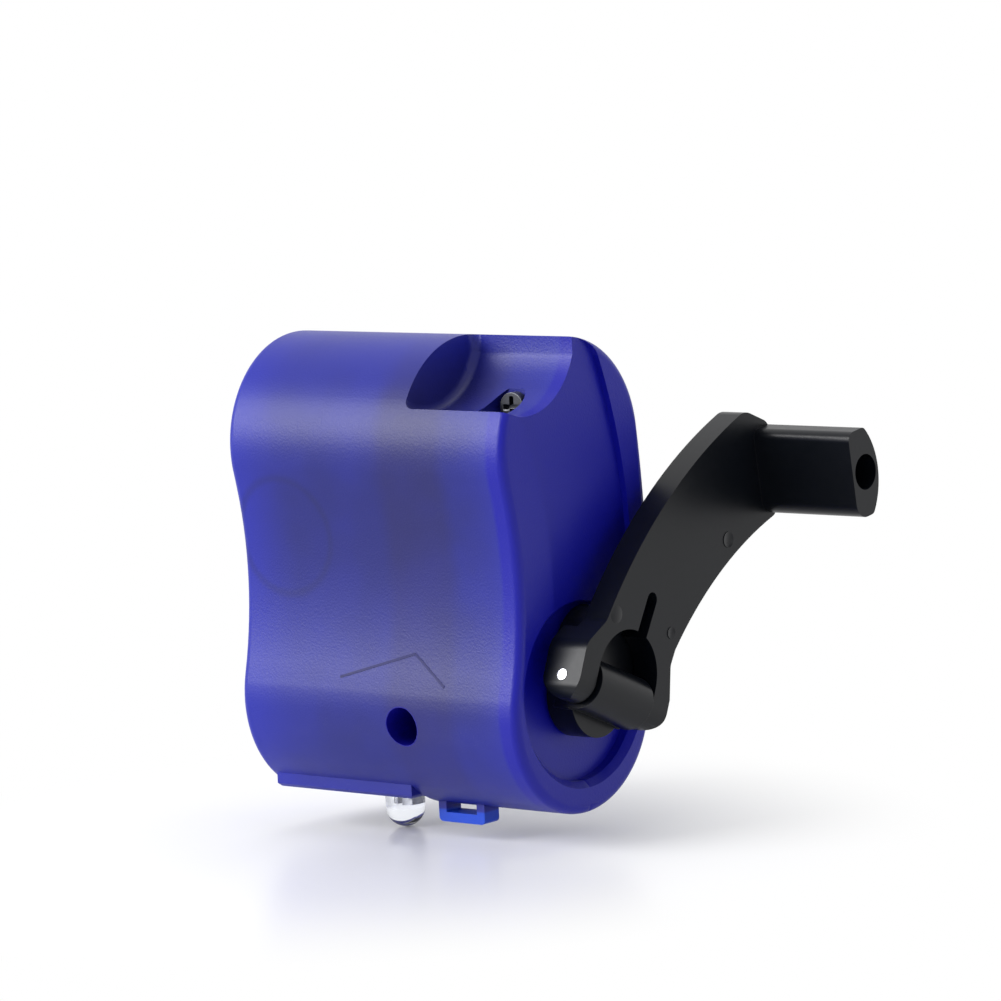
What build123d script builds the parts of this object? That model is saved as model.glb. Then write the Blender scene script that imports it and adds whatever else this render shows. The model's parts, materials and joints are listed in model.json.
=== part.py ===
from build123d import *
import os
from math import asin, atan2, cos, degrees, hypot, pi, radians, sin, sqrt, tan

# Pocket hand-crank phone charger: a translucent two-part casing that holds a step-up gear
# train, a small generator, a circuit board with an output socket and a lamp, and a folding
# crank whose handle stows in a notch of the casing.
#
# Frame: X runs from the flat end (x = 0) to the crank end, Y from the grip side to the palm
# side (the casing parts at y = 0), Z up. The origin is the middle of the flat end. All in mm.

os.makedirs("parts", exist_ok=True)

# ---------------------------------------------------------------- driving dimensions
# casing
BODY_LENGTH = 44.0      # flat end to crank end
BODY_HEIGHT = 58.0      # over the two round lobes
LOBE_RADIUS = 13.4      # round top and bottom of the bean profile
WAIST_DEPTH = 1.95      # dip of the grip side between the lobes
BACK_CROWN = 0.9        # bulge of the palm side
WALL = 1.8              # side walls and flat end
END_WALL = 3.6          # crank end, thick enough for its recess
EDGE_ROUND = 1.2        # rounding of both ends
RIB = 1.3               # thickness of the inner ribs
PLATE_RIB_DEPTH = 1.2   # how far the gear plate ribs stand in from the walls

# crank-end recess
RECESS_RADIUS = 11.0
RECESS_DEPTH = 2.0
RECESS_BEVEL = 0.8
CHANNEL_DEPTH = 0.8     # shallow bed of the folded arm
CHANNEL_MARGIN = 0.9

# stowage notch for the handle
NOTCH_LENGTH = 16.0     # along X, from the crank end
NOTCH_WALL = 1.5
NOTCH_ROUND = 1.2
NOTCH_BACK_Y = 1.8      # rear wall of the notch
TROUGH_RADIUS = 10.0    # the bed is a round trough, open to the grip side
TROUGH_Y = -7.6         # lowest line of the trough
TROUGH_RISE = 34.25     # lowest line of the trough above the crank axis

# output pad under the casing, lamp and strap loop
PAD_START = 1.4
PAD_END = 23.3
PAD_WIDTH = 18.0
PAD_RISE = 1.7          # the flat lies this far above the lobe's lowest line
PAD_DEPTH = 3.0
PAD_BEVEL = 0.4
LOOP_WIDTH = 7.2
LOOP_DEPTH = 2.8
LOOP_FRONT_Y = -4.8     # grip-side face of the loop
LOOP_DROP = 1.65        # loop below the lobe's lowest line
LOOP_BAR = 1.2
LOOP_BACK = 1.8         # loop's middle behind the rear gear plate
LAMP_X = 14.5
LAMP_RADIUS = 2.5
LAMP_DROP = 5.6         # lamp below the flat

# drive line (positions in the YZ plane)
DRIVE_RISE = 1.6        # crank axis above the lower lobe's centre, on the parting plane
MODULE = 0.5
PRESSURE_ANGLE = 20.0
BACKLASH = 0.10
DRIVE_TEETH = 40
PINION_TEETH = 10
FIRST_TEETH = 32
SECOND_TEETH = 26
SECOND_OFFSET_Y = 3.9   # second gear sits towards the palm side
WHEEL_ADDENDUM = 0.32
PINION_ADDENDUM = 0.55
TOOTH_CLEARANCE = 0.15

# stations along X
GEARBOX_DEPTH = 11.0    # rear plate to the end wall
PLATE_THICKNESS = 1.0
PLATE_GAP = 6.6         # between the two gear plates
LAYER = 2.4             # face width of the wheels
LAYER_STEP = 0.4        # axial gap between the two gear layers
END_FLOAT = 0.3         # axial play of each gear
GENERATOR_START = 8.0
GENERATOR_GAP = 3.4     # generator to rear plate
GENERATOR_RADIUS = 10.0

# shafts and fits
DRIVE_SHAFT_RADIUS = 2.0
AXLE_RADIUS = 1.0
RUNNING_FIT = 0.05      # radial clearance of everything that turns
SEAT_GAP = 0.15         # clearance of inner pieces in the casing
MOVING_GAP = 0.4        # crank to casing

# crank
CRANK_LEAN = 23.5       # rest tilt of the crank's root from +Z towards +Y, degrees
ARM_STANDOFF = 6.0      # outer face of the unfolded arm beyond the casing
ARM_THICKNESS = 3.5
RING_HALF_WIDTH = 9.0
THROAT_HALF_WIDTH = 5.8
THROAT_TOP = 7.9
EAR_REACH = 6.4         # how far the full-depth ears run up the arm
SLOT_WIDTH = 1.9
SLOT_REACH = 5.2
HANDLE_U = 19.8         # handle centre across the crank's root
HANDLE_N = 34.2         # handle centre along the crank's root
HANDLE_LENGTH = 14.3
HANDLE_WIDTH = 11.0
HANDLE_DEPTH = 5.4
HANDLE_TURN = 121.5     # long side of the handle, from the crank's cross direction
HANDLE_BORE_RADIUS = 2.2
HANDLE_BORE_DEPTH = 10.0
HUB_RADIUS = 5.5
HUB_REACH = 10.7        # upper end of the hub, from the pin
KNUCKLE_HALF_WIDTH = 5.3
KNUCKLE_RADIUS = 3.3
PIN_RADIUS = 0.75

# screws
SCREW_HEAD_RADIUS = 1.8
SCREW_HEAD_HEIGHT = 1.2
SCREW_RADIUS = 1.0
SCREW_REACH = 8.0       # thread beyond the parting plane
WELL_RADIUS = 2.4
WEB = 1.0               # casing under each screw head
BOSS_RADIUS = 3.0
UPPER_WELL_END = 10.6    # the upper well stops behind the notch's lip
LOWER_SCREW_BACK = 3.5   # lower screw behind the rear plate
LOWER_SCREW_DROP = 3.4   # lower screw below the crank axis
UPPER_SCREW_BACK = 7.4   # upper screw behind the crank end
UPPER_SCREW_LIFT = 0.35  # upper screw above the notch's lowest line

# circuit board and socket
BOARD_X = 10.2
BOARD_THICKNESS = 1.2
BOARD_WIDTH = 18.0
BOARD_ABOVE = 8.0       # board above and below the crank axis
BOARD_BELOW = 8.6
SOCKET_WIDTH = 13.1     # along Y
SOCKET_DEPTH = 5.7      # along X
SOCKET_LENGTH = 14.0
SOCKET_SHEET = 0.4
SOCKET_CLEARANCE = 0.15

# ---------------------------------------------------------------- derived places
LOBE_Z = BODY_HEIGHT / 2 - LOBE_RADIUS
CAVITY_END = BODY_LENGTH - END_WALL
RECESS_FLOOR = BODY_LENGTH - RECESS_DEPTH
DRIVE_Z = DRIVE_RISE - LOBE_Z
REAR_PLATE_X = CAVITY_END - GEARBOX_DEPTH
GENERATOR_LENGTH = REAR_PLATE_X - GENERATOR_GAP - GENERATOR_START
ARM_FACE_X = BODY_LENGTH + ARM_STANDOFF
LOWER_SCREW = (REAR_PLATE_X - LOWER_SCREW_BACK, DRIVE_Z - LOWER_SCREW_DROP)
UPPER_SCREW = (BODY_LENGTH - UPPER_SCREW_BACK, DRIVE_Z + TROUGH_RISE + UPPER_SCREW_LIFT)
LOOP_X = REAR_PLATE_X - LOOP_BACK
BOARD_TOP = DRIVE_Z + BOARD_ABOVE
BOARD_BOTTOM = DRIVE_Z - BOARD_BELOW
FRONT_PLATE_X = REAR_PLATE_X + PLATE_THICKNESS + PLATE_GAP
PIN_X = (ARM_FACE_X + BODY_LENGTH + MOVING_GAP) / 2
CHEEK_RADIUS = ARM_FACE_X - PIN_X
ARM_BACK_X = ARM_FACE_X - ARM_THICKNESS
HUB_TOP_X = ARM_BACK_X - END_FLOAT
PAD_Z = -BODY_HEIGHT / 2 + PAD_RISE
LAYER_A = REAR_PLATE_X + PLATE_THICKNESS + 2 * END_FLOAT
LAYER_B = LAYER_A + LAYER + LAYER_STEP


def pitch_radius(teeth):
    return MODULE * teeth / 2


FIRST_Z = DRIVE_Z + pitch_radius(DRIVE_TEETH + PINION_TEETH)
FIRST_TO_SECOND = pitch_radius(FIRST_TEETH + PINION_TEETH)
SECOND_Z = FIRST_Z + sqrt(FIRST_TO_SECOND**2 - SECOND_OFFSET_Y**2)
SECOND_TO_ROTOR = pitch_radius(SECOND_TEETH + PINION_TEETH)
ROTOR_Z = SECOND_Z + sqrt(SECOND_TO_ROTOR**2 - SECOND_OFFSET_Y**2)

POSTS = ((10.0, FIRST_Z + 0.5), (-6.5, SECOND_Z), (0.0, DRIVE_Z - 11.8))

CRANK_CROSS = (0, cos(radians(CRANK_LEAN)), -sin(radians(CRANK_LEAN)))
STOWED_CROSS = (0, -CRANK_CROSS[1], -CRANK_CROSS[2])


def crank_plane(x):
    """Plane at station x whose x runs along the hinge pin and y along the crank's root."""
    return Plane(origin=(x, 0, DRIVE_Z), x_dir=CRANK_CROSS, z_dir=(1, 0, 0))


def stowed_plane(x):
    """The same plane when the crank is turned half a turn and folded onto the casing."""
    return Plane(origin=(x, 0, DRIVE_Z), x_dir=STOWED_CROSS, z_dir=(-1, 0, 0))


def save(piece, name):
    piece.part.label = name
    export_step(piece.part, f"parts/{name}.step")


# ---------------------------------------------------------------- casing profile
def bean(inset=0.0):
    """The casing's YZ profile, moved inwards by inset: two round lobes, a waist, a crown."""
    radius = LOBE_RADIUS - inset
    waist = LOBE_RADIUS - WAIST_DEPTH
    waist_radius = (waist**2 + LOBE_Z**2 - LOBE_RADIUS**2) / (2 * WAIST_DEPTH)
    crown_reach = (BACK_CROWN**2 + LOBE_Z**2) / (2 * BACK_CROWN)
    front = atan2(LOBE_Z, waist + waist_radius)
    back = atan2(LOBE_Z, crown_reach - BACK_CROWN)
    front_y = -radius * cos(front)
    front_z = LOBE_Z - radius * sin(front)
    back_y = radius * cos(back)
    back_z = LOBE_Z + radius * sin(back)
    with BuildSketch(mode=Mode.PRIVATE) as profile:
        with BuildLine():
            ThreePointArc((front_y, front_z), (0, LOBE_Z + radius), (back_y, back_z))
            ThreePointArc((back_y, back_z), (LOBE_RADIUS + BACK_CROWN - inset, 0), (back_y, -back_z))
            ThreePointArc((back_y, -back_z), (0, -LOBE_Z - radius), (front_y, -front_z))
            ThreePointArc((front_y, -front_z), (inset - waist, 0), (front_y, front_z))
        make_face()
    return profile.sketch


def bean_slice(start, thickness, inset):
    """A solid slice of the profile between two stations along X."""
    with BuildPart(mode=Mode.PRIVATE) as piece:
        with BuildSketch(Plane.YZ.offset(start)):
            add(bean(inset))
        extrude(amount=thickness)
    return piece.part


def notch_solid(grow=0.0):
    """The space of the stowage notch, or that space with a wall of thickness grow round it."""
    floor_z = DRIVE_Z + TROUGH_RISE
    centre_z = floor_z + TROUGH_RADIUS
    far = 2 * LOBE_RADIUS
    left = TROUGH_Y - 0.8 * TROUGH_RADIUS
    left_z = centre_z - 0.6 * TROUGH_RADIUS
    back_z = centre_z - sqrt(TROUGH_RADIUS**2 - (NOTCH_BACK_Y - TROUGH_Y) ** 2)
    with BuildPart(mode=Mode.PRIVATE) as piece:
        with BuildSketch(Plane.YZ.offset(BODY_LENGTH - NOTCH_LENGTH - grow)):
            with BuildLine():
                ThreePointArc((left, left_z), (TROUGH_Y, floor_z), (NOTCH_BACK_Y, back_z))
                Line((NOTCH_BACK_Y, back_z), (NOTCH_BACK_Y, BODY_HEIGHT))
                Line((NOTCH_BACK_Y, BODY_HEIGHT), (-far, BODY_HEIGHT))
                Line((-far, BODY_HEIGHT), (-far, left_z))
                Line((-far, left_z), (left, left_z))
            make_face()
            if grow:
                offset(amount=grow, kind=Kind.INTERSECTION)
        extrude(amount=NOTCH_LENGTH + 2 * grow + 5)
        if not grow:
            start = piece.faces().sort_by(Axis.X)[0]
            bed = start.edges().sort_by(Axis.Z)[0]
            wall = start.edges().filter_by(Axis.Z).sort_by(Axis.Y)[-1]
            fillet([bed, wall], NOTCH_ROUND)
    return piece.part


def outer_block():
    """The casing as a solid block with rounded ends and the flat pad under it."""
    with BuildPart(mode=Mode.PRIVATE) as pad:
        with BuildSketch(Plane.XY.offset(PAD_Z)):
            with Locations(((PAD_START + PAD_END) / 2, 0)):
                Rectangle(PAD_END - PAD_START, PAD_WIDTH)
        extrude(amount=PAD_DEPTH)
        chamfer(pad.faces().sort_by(Axis.Z)[0].edges(), PAD_BEVEL)
    with BuildPart(mode=Mode.PRIVATE) as block:
        with BuildSketch(Plane.YZ):
            add(bean())
        extrude(amount=BODY_LENGTH)
        ends = block.edges().filter_by(GeomType.CIRCLE).group_by(Axis.X)
        fillet(ends[0] + ends[-1], EDGE_ROUND)
        with BuildSketch(Plane.XY.offset(PAD_Z)):
            Rectangle(2 * PAD_END, 4 * LOBE_RADIUS)
        extrude(amount=-BODY_HEIGHT / 4, mode=Mode.SUBTRACT)
        add(pad.part)
    return block.part


def casing_block():
    """The whole casing before it is parted: shell, ribs, notch, recess and openings."""
    outer = outer_block()
    cavity = bean_slice(WALL, CAVITY_END - WALL, WALL)
    with BuildPart(mode=Mode.PRIVATE) as notch_walls:
        add(notch_solid(NOTCH_WALL))
        add(outer, mode=Mode.INTERSECT)
    with BuildPart(mode=Mode.PRIVATE) as block:
        add(outer)
        add(cavity, mode=Mode.SUBTRACT)
        add(gear_plate_ribs())
        add(generator_ribs())
        add(board_ribs())
        add(notch_walls.part)
        add(pad_floor(outer))
        add(screw_bosses(outer))
        add(notch_solid(), mode=Mode.SUBTRACT)
        add(crank_recess(), mode=Mode.SUBTRACT)
        add(bottom_openings(), mode=Mode.SUBTRACT)
    return block.part


def gear_plate_ribs():
    """Ribs either side of the gear plates, so that both plates are held along X."""
    stations = (REAR_PLATE_X - RIB - SEAT_GAP, FRONT_PLATE_X + PLATE_THICKNESS + SEAT_GAP)
    with BuildPart(mode=Mode.PRIVATE) as ribs:
        for station in stations:
            add(bean_slice(station, RIB, WALL - 0.1))
            add(bean_slice(station, RIB, WALL + PLATE_RIB_DEPTH), mode=Mode.SUBTRACT)
        with BuildSketch(Plane.XY.offset(DRIVE_Z - 7)):
            Rectangle(4 * BODY_LENGTH, 4 * LOBE_RADIUS)
        extrude(amount=-BODY_HEIGHT, mode=Mode.SUBTRACT)
    return ribs.part


def generator_ribs():
    """Two saddles that hold the generator can in the upper lobe."""
    saddle = GENERATOR_RADIUS + SEAT_GAP
    with BuildPart(mode=Mode.PRIVATE) as ribs:
        for station in (GENERATOR_START + 1.5, GENERATOR_START + GENERATOR_LENGTH - 4.5):
            add(bean_slice(station, RIB, WALL - 0.1))
        with BuildSketch(Plane.YZ) as bore:
            with Locations((0, ROTOR_Z)):
                Circle(saddle)
        extrude(amount=BODY_LENGTH, mode=Mode.SUBTRACT)
        with BuildSketch(Plane.XY.offset(-BODY_HEIGHT)):
            Rectangle(4 * BODY_LENGTH, 4 * LOBE_RADIUS)
        extrude(amount=BODY_HEIGHT + ROTOR_Z - 5, mode=Mode.SUBTRACT)
    return ribs.part


def board_ribs():
    """Ledges in the lower lobe that carry the circuit board by its edges."""
    with BuildPart(mode=Mode.PRIVATE) as ribs:
        station = BOARD_X + BOARD_THICKNESS + SEAT_GAP
        add(bean_slice(station, RIB, WALL - 0.1))
        with BuildSketch(Plane.YZ.offset(station - 1)):
            with Locations((0, DRIVE_Z)):
                Rectangle(BOARD_WIDTH - 3, BODY_HEIGHT)
        extrude(amount=RIB + 2, mode=Mode.SUBTRACT)
        with BuildSketch(Plane.XY.offset(BOARD_TOP - 3)):
            Rectangle(4 * BODY_LENGTH, 4 * LOBE_RADIUS)
        extrude(amount=BODY_HEIGHT, mode=Mode.SUBTRACT)
        with BuildSketch(Plane.XY.offset(BOARD_BOTTOM - 20)):
            Rectangle(4 * BODY_LENGTH, 4 * LOBE_RADIUS)
        extrude(amount=20 + 1, mode=Mode.SUBTRACT)
    return ribs.part


def pad_floor(outer):
    """Floor over the flat pad and the step at its end, kept inside the casing's outline."""
    with BuildPart(mode=Mode.PRIVATE) as floor:
        with BuildSketch(Plane.XY.offset(PAD_Z)):
            with Locations(((PAD_END + WALL) / 2, 0)):
                Rectangle(PAD_END + WALL, PAD_WIDTH)
        extrude(amount=WALL)
        with BuildSketch(Plane.XY.offset(PAD_Z)):
            with Locations((PAD_END + WALL / 2, 0)):
                Rectangle(WALL, PAD_WIDTH)
        extrude(amount=-2 * PAD_RISE)
        add(outer, mode=Mode.INTERSECT)
    return floor.part


def screw_bosses(outer):
    """Solid columns along Y for the two screws, kept inside the casing's outline."""
    with BuildPart(mode=Mode.PRIVATE) as bosses:
        with BuildSketch(Plane.XZ.offset(-2 * LOBE_RADIUS)):
            with Locations(LOWER_SCREW, UPPER_SCREW):
                Circle(BOSS_RADIUS)
        extrude(amount=4 * LOBE_RADIUS)
        add(outer, mode=Mode.INTERSECT)
    return bosses.part


def crank_recess():
    """Round recess of the crank hub, its bushing hole, and the bed of the folded arm."""
    with BuildPart(mode=Mode.PRIVATE) as recess:
        with BuildSketch(Plane.YZ.offset(RECESS_FLOOR)):
            with Locations((0, DRIVE_Z)):
                Circle(RECESS_RADIUS)
        extrude(amount=2 * RECESS_DEPTH)
        with BuildSketch(Plane.YZ.offset(BODY_LENGTH - RECESS_BEVEL)):
            with Locations((0, DRIVE_Z)):
                Circle(RECESS_RADIUS)
        extrude(amount=2 * RECESS_BEVEL, taper=-45)
        with BuildSketch(Plane.YZ.offset(CAVITY_END - 1)):
            with Locations((0, DRIVE_Z)):
                Circle(BUSHING_RADIUS + RUNNING_FIT)
        extrude(amount=END_WALL)
        with BuildSketch(stowed_plane(BODY_LENGTH + 1)):
            add(arm_profile(CHANNEL_MARGIN))
        extrude(amount=1 + CHANNEL_DEPTH)
    return recess.part


def bottom_openings():
    """Openings of the output socket and of the lamp in the pad."""
    with BuildPart(mode=Mode.PRIVATE) as openings:
        with BuildSketch(Plane.XY.offset(PAD_Z - 1)):
            with Locations((SOCKET_X, 0)):
                Rectangle(SOCKET_DEPTH + 2 * SOCKET_CLEARANCE, SOCKET_WIDTH + 2 * SOCKET_CLEARANCE)
            with Locations((LAMP_X, 0)):
                Circle(LAMP_RADIUS + SEAT_GAP)
        extrude(amount=6.5)
    return openings.part


# ---------------------------------------------------------------- crank profiles
def arm_profile(grow=0.0):
    """The arm's outline in the crank plane: fork, banana-shaped arm and handle end."""
    tip = (12.2, 39.3)
    with BuildSketch(mode=Mode.PRIVATE) as profile:
        with BuildLine():
            Line((-RING_HALF_WIDTH, -CHEEK_RADIUS), (-RING_HALF_WIDTH, 4.0))
            Line((-RING_HALF_WIDTH, 4.0), (-6.2, 7.5))
            ThreePointArc((-6.2, 7.5), (0.7, 24.5), tip)
            Line(tip, (16.8, 39.4))
            Line((16.8, 39.4), (HANDLE_U + 2.7, HANDLE_N + 2.4))
            Line((HANDLE_U + 2.7, HANDLE_N + 2.4), (22.6, 29.0))
            ThreePointArc((22.6, 29.0), (13.75, 18.9), (8.1, 7.7))
            Line((8.1, 7.7), (7.8, 5.6))
            Line((7.8, 5.6), (RING_HALF_WIDTH, 1.6))
            Line((RING_HALF_WIDTH, 1.6), (RING_HALF_WIDTH, -CHEEK_RADIUS))
            Line((RING_HALF_WIDTH, -CHEEK_RADIUS), (-RING_HALF_WIDTH, -CHEEK_RADIUS))
        make_face()
        ends = profile.vertices()
        fillet(ends.sort_by_distance(tip)[0], 3.0)
        fillet(profile.vertices().sort_by_distance((16.8, 39.4))[0], 2.0)
        fillet(profile.vertices().sort_by_distance((HANDLE_U + 2.7, HANDLE_N + 2.4))[0], 2.5)
        fillet(profile.vertices().sort_by_distance((22.6, 29.0))[0], 1.2)
        fillet(profile.vertices().sort_by_distance((-9.0, 4.0))[0], 2.5)
        fillet(profile.vertices().sort_by_distance((-6.2, 7.5))[0], 2.0)
        fillet(profile.vertices().sort_by_distance((7.8, 5.6))[0], 1.5)
        for side in (-1, 1):
            corner = (side * RING_HALF_WIDTH, -CHEEK_RADIUS)
            fillet(profile.vertices().sort_by_distance(corner)[0], 2.0)
        if grow:
            offset(amount=grow)
    return profile.sketch


def throat_profile():
    """The fork's throat, open towards the pin, with the relief slot above it."""
    arc_centre = THROAT_TOP - THROAT_HALF_WIDTH
    with BuildSketch(mode=Mode.PRIVATE) as profile:
        with Locations((0, arc_centre)):
            Circle(THROAT_HALF_WIDTH)
        with Locations((0, arc_centre - 5)):
            Rectangle(2 * THROAT_HALF_WIDTH, 10)
        with Locations((1.3, THROAT_TOP + SLOT_REACH / 2 - 0.9)):
            SlotOverall(SLOT_REACH + SLOT_WIDTH, SLOT_WIDTH, rotation=83)
    return profile.sketch


def handle_profile():
    """The handle's section: a flat inner side with rounded corners and a domed outer side."""
    half = HANDLE_WIDTH / 2
    depth = HANDLE_DEPTH / 2
    with BuildSketch(mode=Mode.PRIVATE) as profile:
        with BuildLine():
            Line((-half, depth), (half, depth))
            Line((half, depth), (half, -depth / 4))
            ThreePointArc((half, -depth / 4), (0, -depth), (-half, -depth / 4))
            Line((-half, -depth / 4), (-half, depth))
        make_face()
        corners = profile.vertices().group_by(Axis.Y)[-1].sort_by(Axis.X)
        fillet(corners[0], 2.0)
        fillet(profile.vertices().sort_by_distance((half, depth))[0], 1.2)
        fillet(profile.vertices().group_by(Axis.Y)[0], 0.9)
    return profile.sketch


# ---------------------------------------------------------------- gears
def involute(radius, base):
    """Polar angle swept by an involute of the base circle at a radius."""
    if radius <= base:
        return 0.0
    roll = sqrt((radius / base) ** 2 - 1)
    return roll - atan2(roll, 1)


def gear_profile(teeth, addendum, dedendum, phase):
    """Outline of a spur gear whose first tooth points at phase degrees."""
    pitch = pitch_radius(teeth)
    base = pitch * cos(radians(PRESSURE_ANGLE))
    root = pitch - dedendum
    tip = pitch + addendum
    start = max(base, root)
    half = (pi * MODULE / 2 - BACKLASH) / (2 * pitch) + involute(pitch, base)

    def point(radius, angle):
        return (radius * cos(angle), radius * sin(angle))

    middle = (start + tip) / 2
    with BuildSketch(mode=Mode.PRIVATE) as profile:
        with BuildLine():
            for k in range(teeth):
                axis = radians(phase) + 2 * pi * k / teeth
                step = 2 * pi / teeth
                foot = half - involute(start, base)
                rise = [point(r, axis - half + involute(r, base)) for r in (start, middle, tip)]
                fall = [point(r, axis + half - involute(r, base)) for r in (tip, middle, start)]
                if root < start:
                    Line(point(root, axis - foot), rise[0])
                ThreePointArc(*rise)
                Line(rise[-1], fall[0])
                ThreePointArc(*fall)
                if root < start:
                    Line(fall[-1], point(root, axis + foot))
                Line(point(min(root, start), axis + foot), point(min(root, start), axis + step - foot))
        make_face()
    return profile.sketch


def wheel(teeth, phase):
    return gear_profile(teeth, WHEEL_ADDENDUM, PINION_ADDENDUM + TOOTH_CLEARANCE, phase)


def pinion(phase):
    return gear_profile(PINION_TEETH, PINION_ADDENDUM, WHEEL_ADDENDUM + TOOTH_CLEARANCE, phase)


HALF_PINION_PITCH = 180.0 / PINION_TEETH
TO_SECOND = 90.0 - degrees(asin(SECOND_OFFSET_Y / FIRST_TO_SECOND))
TO_ROTOR = 90.0 + degrees(asin(SECOND_OFFSET_Y / SECOND_TO_ROTOR))

# ---------------------------------------------------------------- sizes used by several pieces
BUSHING_RADIUS = 3.5
SOCKET_X = BOARD_X - 0.1 - SOCKET_DEPTH / 2
DRIVE_BOSS_RADIUS = 3.4


def disc(start, end, radius, y=0.0, z=0.0):
    """A round column along X, made into the open part."""
    with BuildSketch(Plane.YZ.offset(start)) as profile:
        with Locations((y, z)):
            Circle(radius)
    extrude(profile.sketch, amount=end - start)


def bore(start, end, radius, y=0.0, z=0.0):
    """A round hole along X, cut from the open part."""
    with BuildSketch(Plane.YZ.offset(start)) as profile:
        with Locations((y, z)):
            Circle(radius)
    extrude(profile.sketch, amount=end - start, mode=Mode.SUBTRACT)


# ---------------------------------------------------------------- casing halves
CASING = casing_block()


def screw_hole(place, head_y, end_y, well_end):
    """Well, clearance hole and thread hole of one casing screw, cut from the open part."""
    with BuildSketch(Plane.XZ.offset(-head_y)) as well:
        with Locations(place):
            Circle(WELL_RADIUS)
    extrude(well.sketch, amount=well_end + head_y, mode=Mode.SUBTRACT)
    with BuildSketch(Plane.XZ.offset(-end_y)) as shank:
        with Locations(place):
            Circle(SCREW_RADIUS + RUNNING_FIT)
    extrude(shank.sketch, amount=-head_y + end_y, mode=Mode.SUBTRACT)


with BuildPart() as front_shell:
    add(CASING)
    split(bisect_by=Plane.XZ, keep=Keep.TOP)
    screw_hole(LOWER_SCREW, -WEB, SCREW_REACH + 1, LOBE_RADIUS)
    screw_hole(UPPER_SCREW, -WEB, SCREW_REACH + 1, UPPER_WELL_END)
    # strap loop, moulded under the grip-side shell
    loop_top = -BODY_HEIGHT / 2 + 1.5
    loop_foot = -BODY_HEIGHT / 2 - LOOP_DROP
    window_top = -BODY_HEIGHT / 2 + 0.9
    with BuildSketch(Plane.XZ.offset(-LOOP_FRONT_Y)) as loop:
        with Locations((LOOP_X, (loop_top + loop_foot) / 2)):
            RectangleRounded(LOOP_WIDTH, loop_top - loop_foot, 0.6)
        with Locations((LOOP_X, (window_top + loop_foot + LOOP_BAR) / 2)):
            window_height = window_top - loop_foot - LOOP_BAR
            Rectangle(LOOP_WIDTH - 2 * LOOP_BAR, window_height, mode=Mode.SUBTRACT)
    extrude(loop.sketch, amount=-LOOP_DEPTH)
save(front_shell, "front_shell")

with BuildPart() as back_shell:
    add(CASING)
    split(bisect_by=Plane.XZ, keep=Keep.BOTTOM)
    for place in (LOWER_SCREW, UPPER_SCREW):
        with BuildSketch(Plane.XZ.offset(-SCREW_REACH - 1)):
            with Locations(place):
                Circle(SCREW_RADIUS + RUNNING_FIT)
        extrude(amount=SCREW_REACH + 2, mode=Mode.SUBTRACT)
save(back_shell, "back_shell")

with BuildPart() as case_screws:
    for place in (LOWER_SCREW, UPPER_SCREW):
        with BuildSketch(Plane.XZ.offset(WEB)):
            with Locations(place):
                Circle(SCREW_HEAD_RADIUS)
        extrude(amount=SCREW_HEAD_HEIGHT)
        with BuildSketch(Plane.XZ.offset(-SCREW_REACH)):
            with Locations(place):
                Circle(SCREW_RADIUS)
        extrude(amount=SCREW_REACH + WEB)
        with BuildSketch(Plane.XZ.offset(WEB + SCREW_HEAD_HEIGHT)):
            with Locations(place):
                Rectangle(2.6, 0.55)
                Rectangle(0.55, 2.6)
        extrude(amount=-0.8, mode=Mode.SUBTRACT)
save(case_screws, "case_screws")

# ---------------------------------------------------------------- gear box
POST_RADIUS = 1.2
PLATE_SCREW_RADIUS = 0.6
PLATE_SCREW_HEAD = 1.0


def gear_plate(start, top, holes):
    """A steel gear plate that fills the casing's section, with its bearing holes."""
    with BuildPart() as plate:
        add(bean_slice(start, PLATE_THICKNESS, WALL + SEAT_GAP))
        add(notch_solid(NOTCH_WALL + SEAT_GAP), mode=Mode.SUBTRACT)
        with BuildSketch(Plane.XY.offset(top)):
            Rectangle(4 * BODY_LENGTH, 4 * LOBE_RADIUS)
        extrude(amount=BODY_HEIGHT, mode=Mode.SUBTRACT)
        for radius, y, z in holes:
            bore(start - 1, start + PLATE_THICKNESS + 1, radius, y, z)
    return plate


AXLE_HOLES = ((AXLE_RADIUS, 0, FIRST_Z), (AXLE_RADIUS, SECOND_OFFSET_Y, SECOND_Z))
SHAFT_HOLE = ((DRIVE_SHAFT_RADIUS + RUNNING_FIT, 0, DRIVE_Z),)
SCREW_HOLES = tuple((PLATE_SCREW_RADIUS + RUNNING_FIT, y, z) for y, z in POSTS)

rear_gear_plate = gear_plate(
    REAR_PLATE_X, ROTOR_Z + 3.5, AXLE_HOLES + SHAFT_HOLE + ((AXLE_RADIUS + 1.0, 0, ROTOR_Z),)
)
save(rear_gear_plate, "rear_gear_plate")

front_gear_plate = gear_plate(
    FRONT_PLATE_X, UPPER_SCREW[1] - BOSS_RADIUS - 1.0, AXLE_HOLES + SHAFT_HOLE + SCREW_HOLES
)
save(front_gear_plate, "front_gear_plate")

with BuildPart() as plate_posts:
    for y, z in POSTS:
        disc(REAR_PLATE_X + PLATE_THICKNESS, FRONT_PLATE_X, POST_RADIUS, y, z)
        bore(FRONT_PLATE_X - 4, FRONT_PLATE_X, PLATE_SCREW_RADIUS + RUNNING_FIT, y, z)
save(plate_posts, "plate_posts")

with BuildPart() as plate_screws:
    for y, z in POSTS:
        head = FRONT_PLATE_X + PLATE_THICKNESS
        disc(head - 4, head, PLATE_SCREW_RADIUS, y, z)
        disc(head, head + 0.7, PLATE_SCREW_HEAD, y, z)
save(plate_screws, "plate_screws")

with BuildPart() as first_axle:
    disc(REAR_PLATE_X, FRONT_PLATE_X + PLATE_THICKNESS, AXLE_RADIUS, 0, FIRST_Z)
save(first_axle, "first_axle")

with BuildPart() as second_axle:
    disc(REAR_PLATE_X, FRONT_PLATE_X + PLATE_THICKNESS, AXLE_RADIUS, SECOND_OFFSET_Y, SECOND_Z)
save(second_axle, "second_axle")

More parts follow.
